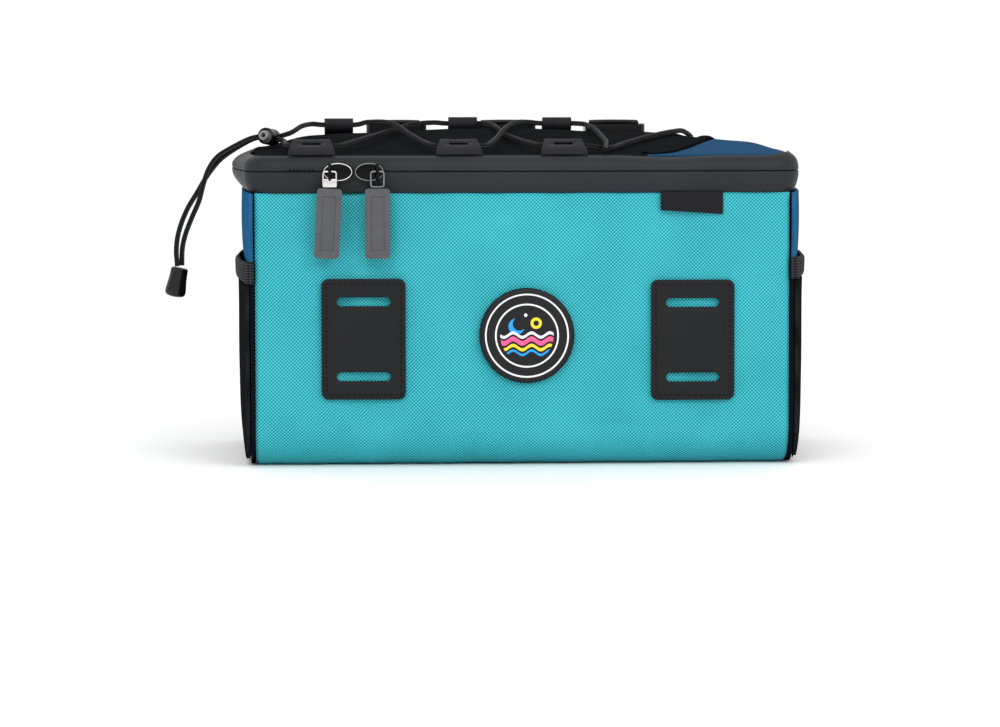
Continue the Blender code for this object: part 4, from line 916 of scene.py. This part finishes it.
radius = (across * across + along * along).root()
outer, inner = ((radius - middle).size().step(0.0005, 0.0003) for middle in RINGS)
ring = outer.most(inner)
inside = radius.step(PICTURE_RADIUS, PICTURE_RADIUS - 0.0003)
ripple = across.wave(0.0092) * 0.0022
marks = [(spot(-0.0052, 0.0046, 0.004), BLUE), (spot(-0.0037, 0.0059, 0.0034), INK),
         (spot(0.0046, 0.0062, 0.0028), YELLOW), (spot(0.0046, 0.0062, 0.0014), INK),
         (spot(-0.0006, 0.0102, 0.0008), WHITE)]
marks += [((along + low - ripple).size().step(half + 0.0001, half - 0.0001), colour)
          for low, half, colour in ((0.0008, 0.0007, WHITE), (0.0038, 0.0012, PINK),
                                    (0.007, 0.0008, YELLOW), (0.0096, 0.0006, BLUE))]
badge.colour(INK, (ring, (0.8, 0.82, 0.84)), *((mark * inside, tint) for mark, tint in marks))
badge.relief(ring * 0.6 + badge.cloudy(0.0006) * 0.1, 0.00015)

place, turn = front_seat(BADGE_SHARES, GAP * 2)
rim = [(0, BADGE_WALL), (BADGE_RADIUS - 0.0031, BADGE_WALL)]
rim += [(BADGE_RADIUS - inset, BADGE_WALL + BADGE_RIM * share) for inset, share in (
    (0.0028, 0.3), (0.0024, 0.9), (0.0018, 1), (0.001, 0.9), (0.0003, 0.2))]
rim += [(BADGE_RADIUS, BADGE_WALL - 0.0004), (BADGE_RADIUS, 0.0003), (BADGE_RADIUS - 0.0003, 0),
        (0, 0)]
make("rubber_round_badge", turned("round_badge", rim, 96, place, turn), badge,
     ("round_badge",))


# Label: a small woven ribbon label is folded double and caught in the seam under the band. Its
# free edge is cut aslant and stands a little off the cloth.
LABEL_WIDTH, LABEL_HEIGHT, LABEL_WALL = 0.0312, 0.0092, 0.0008
LABEL_SLANT = 0.002
label_cloth = Finish("label_ribbon", (0.018, 0.018, 0.021), 0.6, 0.08)
across, along = label_cloth.laid_flat()
weft = along.wave(0.0007)
label_cloth.colour((0.005, 0.005, 0.007),
                   (weft * 0.8 + label_cloth.cloudy(0.004) * 0.2, (0.018, 0.018, 0.022)))
label_cloth.relief(weft, 0.0001)
place, turn = front_seat((0.6309, 1 - (GAP + LABEL_HEIGHT / 2) / PANEL_HEIGHT),
                         GAP * 2 + LABEL_WALL / 2)
half_w, half_h = LABEL_WIDTH / 2, LABEL_HEIGHT / 2
outline = [(-half_w, half_h), (-half_w, -half_h), (half_w, -half_h - LABEL_SLANT),
           (half_w, half_h)]
make("ribbon_woven_label",
     plate_mesh("woven_label", [outline], LABEL_WALL, 0.0002, place, turn), label_cloth,
     ("woven_label",))


# Zip sliders and pulls: two enamelled sliders meet at the left of the front. Each holds a wire
# link, which grips a moulded grey rubber tab with a recessed oblong.
SLIDER_WALL = 0.0024
SLIDER_REACH = (0.00745, 0.00475)
# Middle, mounting face and bridge offset of each slider.
SLIDERS = {"left": (-0.0915, -0.0844, -0.004), "right": (-0.076, -0.0846, 0.004)}
ZIP_Z = 0.14755
BRIDGE_RISE, BRIDGE_REACH, BRIDGE_RADIUS = 0.0031, 0.004, 0.0008
RIM_REACH, RIM_RADIUS = (0.0069, 0.0042), 0.00028
LINK_WIDTH, LINK_BEND, LINK_RADIUS = 0.0064, 0.0011, 0.0005
CLASP = (0.0034, 0.0021, 0.0013)  # half width, half height, wall
enamel = Finish("black_enamel", (0.002, 0.002, 0.002), 0.14, 0.1)
enamel.roughness(enamel.cloudy(0.004) * 0.1 + 0.1)
steel = Finish("bright_steel", (0.62, 0.61, 0.6), 0.25, metallic=1)
steel.roughness(steel.cloudy(0.0012, 3.0) * 0.2 + 0.14)
steel.relief(steel.cloudy(0.0004), 0.00003)
dull_steel = Finish("dark_steel", (0.22, 0.22, 0.225), 0.35, metallic=1)
dull_steel.roughness(dull_steel.cloudy(0.0012, 3.0) * 0.2 + 0.25)
tab_rubber = Finish("tab_rubber", (0.075, 0.075, 0.08), 0.62, 0.2)
grain = tab_rubber.cloudy(0.0005)
tab_rubber.colour((0.056, 0.058, 0.063),
                  (tab_rubber.cloudy(0.006) * 0.6 + grain * 0.4, (0.098, 0.099, 0.106)))
tab_rubber.relief(grain, 0.00004)
upright = Matrix.Rotation(math.pi / 2, 3, "X")
turn_round = np.linspace(0, math.tau, 65)
for side, (x, back, bridge) in SLIDERS.items():
    metal, slot = (steel, "steel") if side == "left" else (dull_steel, "black_metal")
    face_y = back - SLIDER_WALL
    oval = [(SLIDER_REACH[0] * math.cos(a), SLIDER_REACH[1] * math.sin(a))
            for a in turn_round[:-1]]
    place = (x, back - SLIDER_WALL / 2, ZIP_Z)
    body = plate_mesh("zip_slider_" + side, [oval], SLIDER_WALL, 0.0007, place, upright)
    arch = np.array([(x + bridge, face_y + BRIDGE_RADIUS / 2 - BRIDGE_RISE * math.sin(a) ** 0.7,
                      ZIP_Z + BRIDGE_REACH * math.cos(a)) for a in np.linspace(0.02, 3.12, 25)])
    make("enamel_zip_slider_" + side, body, enamel, ("zip_slider_" + side,))
    make("enamel_slider_bridge_" + side, tube("slider_bridge_" + side, arch, BRIDGE_RADIUS, 12),
         enamel, ())
    rim = np.array([(x + RIM_REACH[0] * math.cos(a), face_y - 0.0001,
                     ZIP_Z + RIM_REACH[1] * math.sin(a)) for a in turn_round])
    make("bright_slider_rim_" + side, tube("slider_rim_" + side, rim, RIM_RADIUS, 8), metal,
         ())
    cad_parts["pull_tab_" + side].material_slots[0].material = tab_rubber.material
    low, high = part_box("pull_link_" + side)
    link_x, link_y, link_z = ((a + b) / 2 for a, b in zip(low, high))
    wire = rounded(LINK_WIDTH, high[2] - low[2] - 2 * LINK_RADIUS, LINK_BEND, 6, (link_x, link_z))
    wire = np.array([(wire_x, link_y, wire_z) for wire_x, wire_z in wire + wire[:1]])
    make("wire_pull_link_" + side, tube("pull_link_" + side, wire, LINK_RADIUS, 10), metal,
         ("pull_link_" + side,), "pull_" + side)
    if side == "left":
        outline = [(hand * CLASP[0], rise * CLASP[1])
                   for hand, rise in ((-1, 1), (-1, -1), (1, -1), (1, 1))]
        clasp = plate_mesh("pull_clasp", [outline], CLASP[2], 0.0003,
                           (link_x, link_y, low[2] + 0.0024), upright)
        make("steel_pull_clasp_left", clasp, metal, (), "pull_left")


# Lacing tabs: coated cloth tabs are folded round the cord, three at the front edge with a
# stamped slot, and three at the back. Each is sewn down at its base.
TAB_CLOTH = 0.0012
TAB_LENGTH = 0.017
FOLD_RADIUS = 0.0034
FRONT_TABS = {"left": -0.7872, "middle": -0.2379, "right": 0.1546}
FRONT_TAB_WIDTHS = (0.0236, 0.0176)
REAR_TABS = {"left": -0.6792, "middle": -0.1914, "right": 0.1801}
REAR_TAB_WIDTHS = (0.015, 0.015)
tab_cloth = Finish("coated_tab", (0.009, 0.009, 0.01), 0.5, 0.08)
grain = tab_cloth.cloudy(0.0007)
tab_cloth.colour((0.008, 0.008, 0.009),
                 (tab_cloth.cloudy(0.008) * 0.7 + grain * 0.3, (0.022, 0.022, 0.024)))
tab_cloth.relief(grain, 0.00006)


def folded_tab(name, base, slope, toward, base_width, tip_width, slotted=False):
    """A tab that rises from its base at a slope, folds over at its tip and comes back below."""
    along = np.array((0, toward * math.cos(slope), math.sin(slope)))
    down = np.array((0, toward * math.sin(slope), -math.cos(slope)))
    straight = TAB_LENGTH - FOLD_RADIUS
    middle = TAB_LENGTH * 0.56
    runs = [0, straight * 0.1, straight * 0.2, straight * 0.4, middle - 0.0013, middle + 0.0013,
            straight * 0.9, straight]
    route = [(run, 0.0012 * max(0, 1 - run / 0.0045) ** 2) for run in runs]
    route += [(straight + FOLD_RADIUS * math.sin(a), FOLD_RADIUS * (1 - math.cos(a)))
              for a in np.linspace(0, math.pi, 15)[1:]]
    route += [(straight * 0.7, FOLD_RADIUS * 1.4 + TAB_CLOTH * 0.6),
              (straight * 0.4, TAB_CLOTH * 2 + GAP)]
    shares = np.array([-1, -0.97, -0.75, -0.46, -0.42, 0, 0.42, 0.46, 0.75, 0.97, 1])
    points = []
    for run, depth in route:
        half = (base_width + (tip_width - base_width) * run / TAB_LENGTH) / 2
        points.append(np.array(base) + along * run + down * depth
                      + np.outer(half * shares, (1, 0, 0)))
    points = np.array(points)
    flat = grid(points[:, :, 0], run_along(points[:, 5])[:, None])

    def in_slot(i, j):
        return slotted and (i == 4 and 3 <= j < 7 or i == 8 and 4 <= j < 6)

    sew("coated", name, points + SHIFT, flat, tab_cloth, "coated_black", TAB_CLOTH * 0.7,
        flip=toward < 0, hole=in_slot)


for name, share in FRONT_TABS.items():
    base = (HALF_WIDTH * share, -HALF_DEPTH - FRONT_BOW / 2, BAND_TOP + 0.0005 + TAB_CLOTH)
    folded_tab("front_tab_" + name, base, math.radians(25), 1, *FRONT_TAB_WIDTHS, True)
for name, share in REAR_TABS.items():
    x, y = HALF_WIDTH * share, LID_BACK - 0.0035
    base = (x, y, float(lid_z(x, y)) + 0.001 + TAB_CLOTH)
    folded_tab("rear_tab_" + name, base, math.radians(47), -1, *REAR_TAB_WIDTHS)


# Cord lock: a sprung plastic barrel pinches the cord at the left of the lid. Its grey button
# shows as a ring round a dark hole, and slides into the barrel's bore.
LOCK_PLACE = (-0.12649, 0.008, 0.1625)
LOCK_AXIS = (-0.403, -0.907, 0.121)
LOCK_BARREL = [
    (0, -0.001), (0.0035, -0.001), (0.0035, 0.0051), (0.0037, 0.0054), (0.004, 0.0054),
    (0.0042, 0.0052), (0.0043, 0.0048), (0.0043, 0.0015), (0.0041, 0.0012), (0.0041, 0.0004),
    (0.0043, 0.0001), (0.0043, -0.0048), (0.0041, -0.0053), (0.0036, -0.0055), (0, -0.0055)]
LOCK_BUTTON = [
    (0, 0.003), (0.001, 0.003), (0.0011, 0.0074), (0.0013, 0.0078), (0.0018, 0.0079),
    (0.0023, 0.0078), (0.0025, 0.0075), (0.0026, 0.0068), (0.0026, 0.0046), (0.0032, 0.004),
    (0.0032, 0.0018), (0, 0.0017)]
place = np.array(LOCK_PLACE) + SHIFT
turn = Vector((0, 0, 1)).rotation_difference(Vector(LOCK_AXIS)).to_matrix()
make("plastic_lock_body", turned("cord_lock_body", LOCK_BARREL, 56, place, turn), plastic,
     ("cord_lock_body",))
ring_grey = Finish("grey_plastic", (0.2, 0.2, 0.2), 0.38)
ring_grey.roughness(ring_grey.cloudy(0.002) * 0.2 + 0.28)
ring_grey.relief(ring_grey.cloudy(0.0005), 0.00002)
make("plastic_lock_button", turned("cord_lock_button", LOCK_BUTTON, 48, place, turn), ring_grey,
     ("cord_lock_button",), "lock_button")


# Mounting straps: three loops of 25 mm nylon webbing hang behind the back panel. Each is closed
# by a plastic buckle on top, with its end turned over and laid down behind the loop.
LOOP_RADIUS = 0.019
LOOP_HEIGHT = 0.1428
LOOP_Y = 0.08686
WEBBING_WIDTH = 0.025
WEBBING_WALL = 0.002
TAIL_WALL = 0.0012
BUCKLE_WALL = 0.0046
STRAPS = {"left": -0.0595, "middle": -0.001, "right": 0.0575}
webbing = Finish("nylon_webbing", (0.01, 0.01, 0.011), 0.75, 0.05)
across, along = webbing.laid_flat()
zigzag = (across.wave(0.0042).size() * 0.0021 + along).wave(0.0018)
webbing.colour((0.004, 0.004, 0.004),
               (zigzag * 0.8 + webbing.cloudy(0.01) * 0.2, (0.022, 0.022, 0.024)))
webbing.relief(zigzag, 0.00025)
width = np.array([-1, -0.98, -0.9, -0.5, 0, 0.5, 0.9, 0.98, 1]) * WEBBING_WIDTH / 2
thin = np.array([0.0004, 0.0001, 0, 0, 0, 0, 0, 0.0001, 0.0004])
angles = np.linspace(0, math.tau, 96, endpoint=False)
for name, middle in STRAPS.items():
    radius = LOOP_RADIUS - thin[:, None]
    points = grid((middle + width)[:, None], LOOP_Y + radius * np.cos(angles),
                  LOOP_HEIGHT + radius * np.sin(angles))
    flat = grid(width[:, None], np.linspace(0, math.tau * LOOP_RADIUS, 97))
    sew("webbing", "strap_loop_" + name, points + SHIFT, flat, webbing, "webbing", WEBBING_WALL,
        closed=True, flip=True)
    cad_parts["strap_buckle_" + name].material_slots[0].material = plastic.material
    top = LOOP_HEIGHT + LOOP_RADIUS + GAP + BUCKLE_WALL
    line = [(y, top + rise) for y, rise in (
        (-0.0095, 0.0013), (-0.0088, 0.0017), (-0.006, 0.002), (-0.002, 0.0021),
        (0.002, 0.0021), (0.007, 0.002), (0.01, 0.0018), (0.0115, 0.0011),
        (0.0124, -0.0003), (0.0126, -0.002), (0.0126, -0.006))]
    outer = LOOP_RADIUS + GAP + WEBBING_WALL
    line += [(outer * math.cos(a), LOOP_HEIGHT + outer * math.sin(a))
             for a in np.radians(np.linspace(38, -38, 13))]
    line = np.array(line)
    over = np.clip(1 - np.arange(len(line)) / 9, 0, 1)[:, None]
    points = grid(middle + width, LOOP_Y + line[:, :1],
                  line[:, 1:] - 0.0005 * over * (width / width[-1]) ** 2)
    sew("webbing", "strap_tail_" + name, points + SHIFT, grid(width, run_along(line)[:, None]),
        webbing, "webbing", TAIL_WALL)
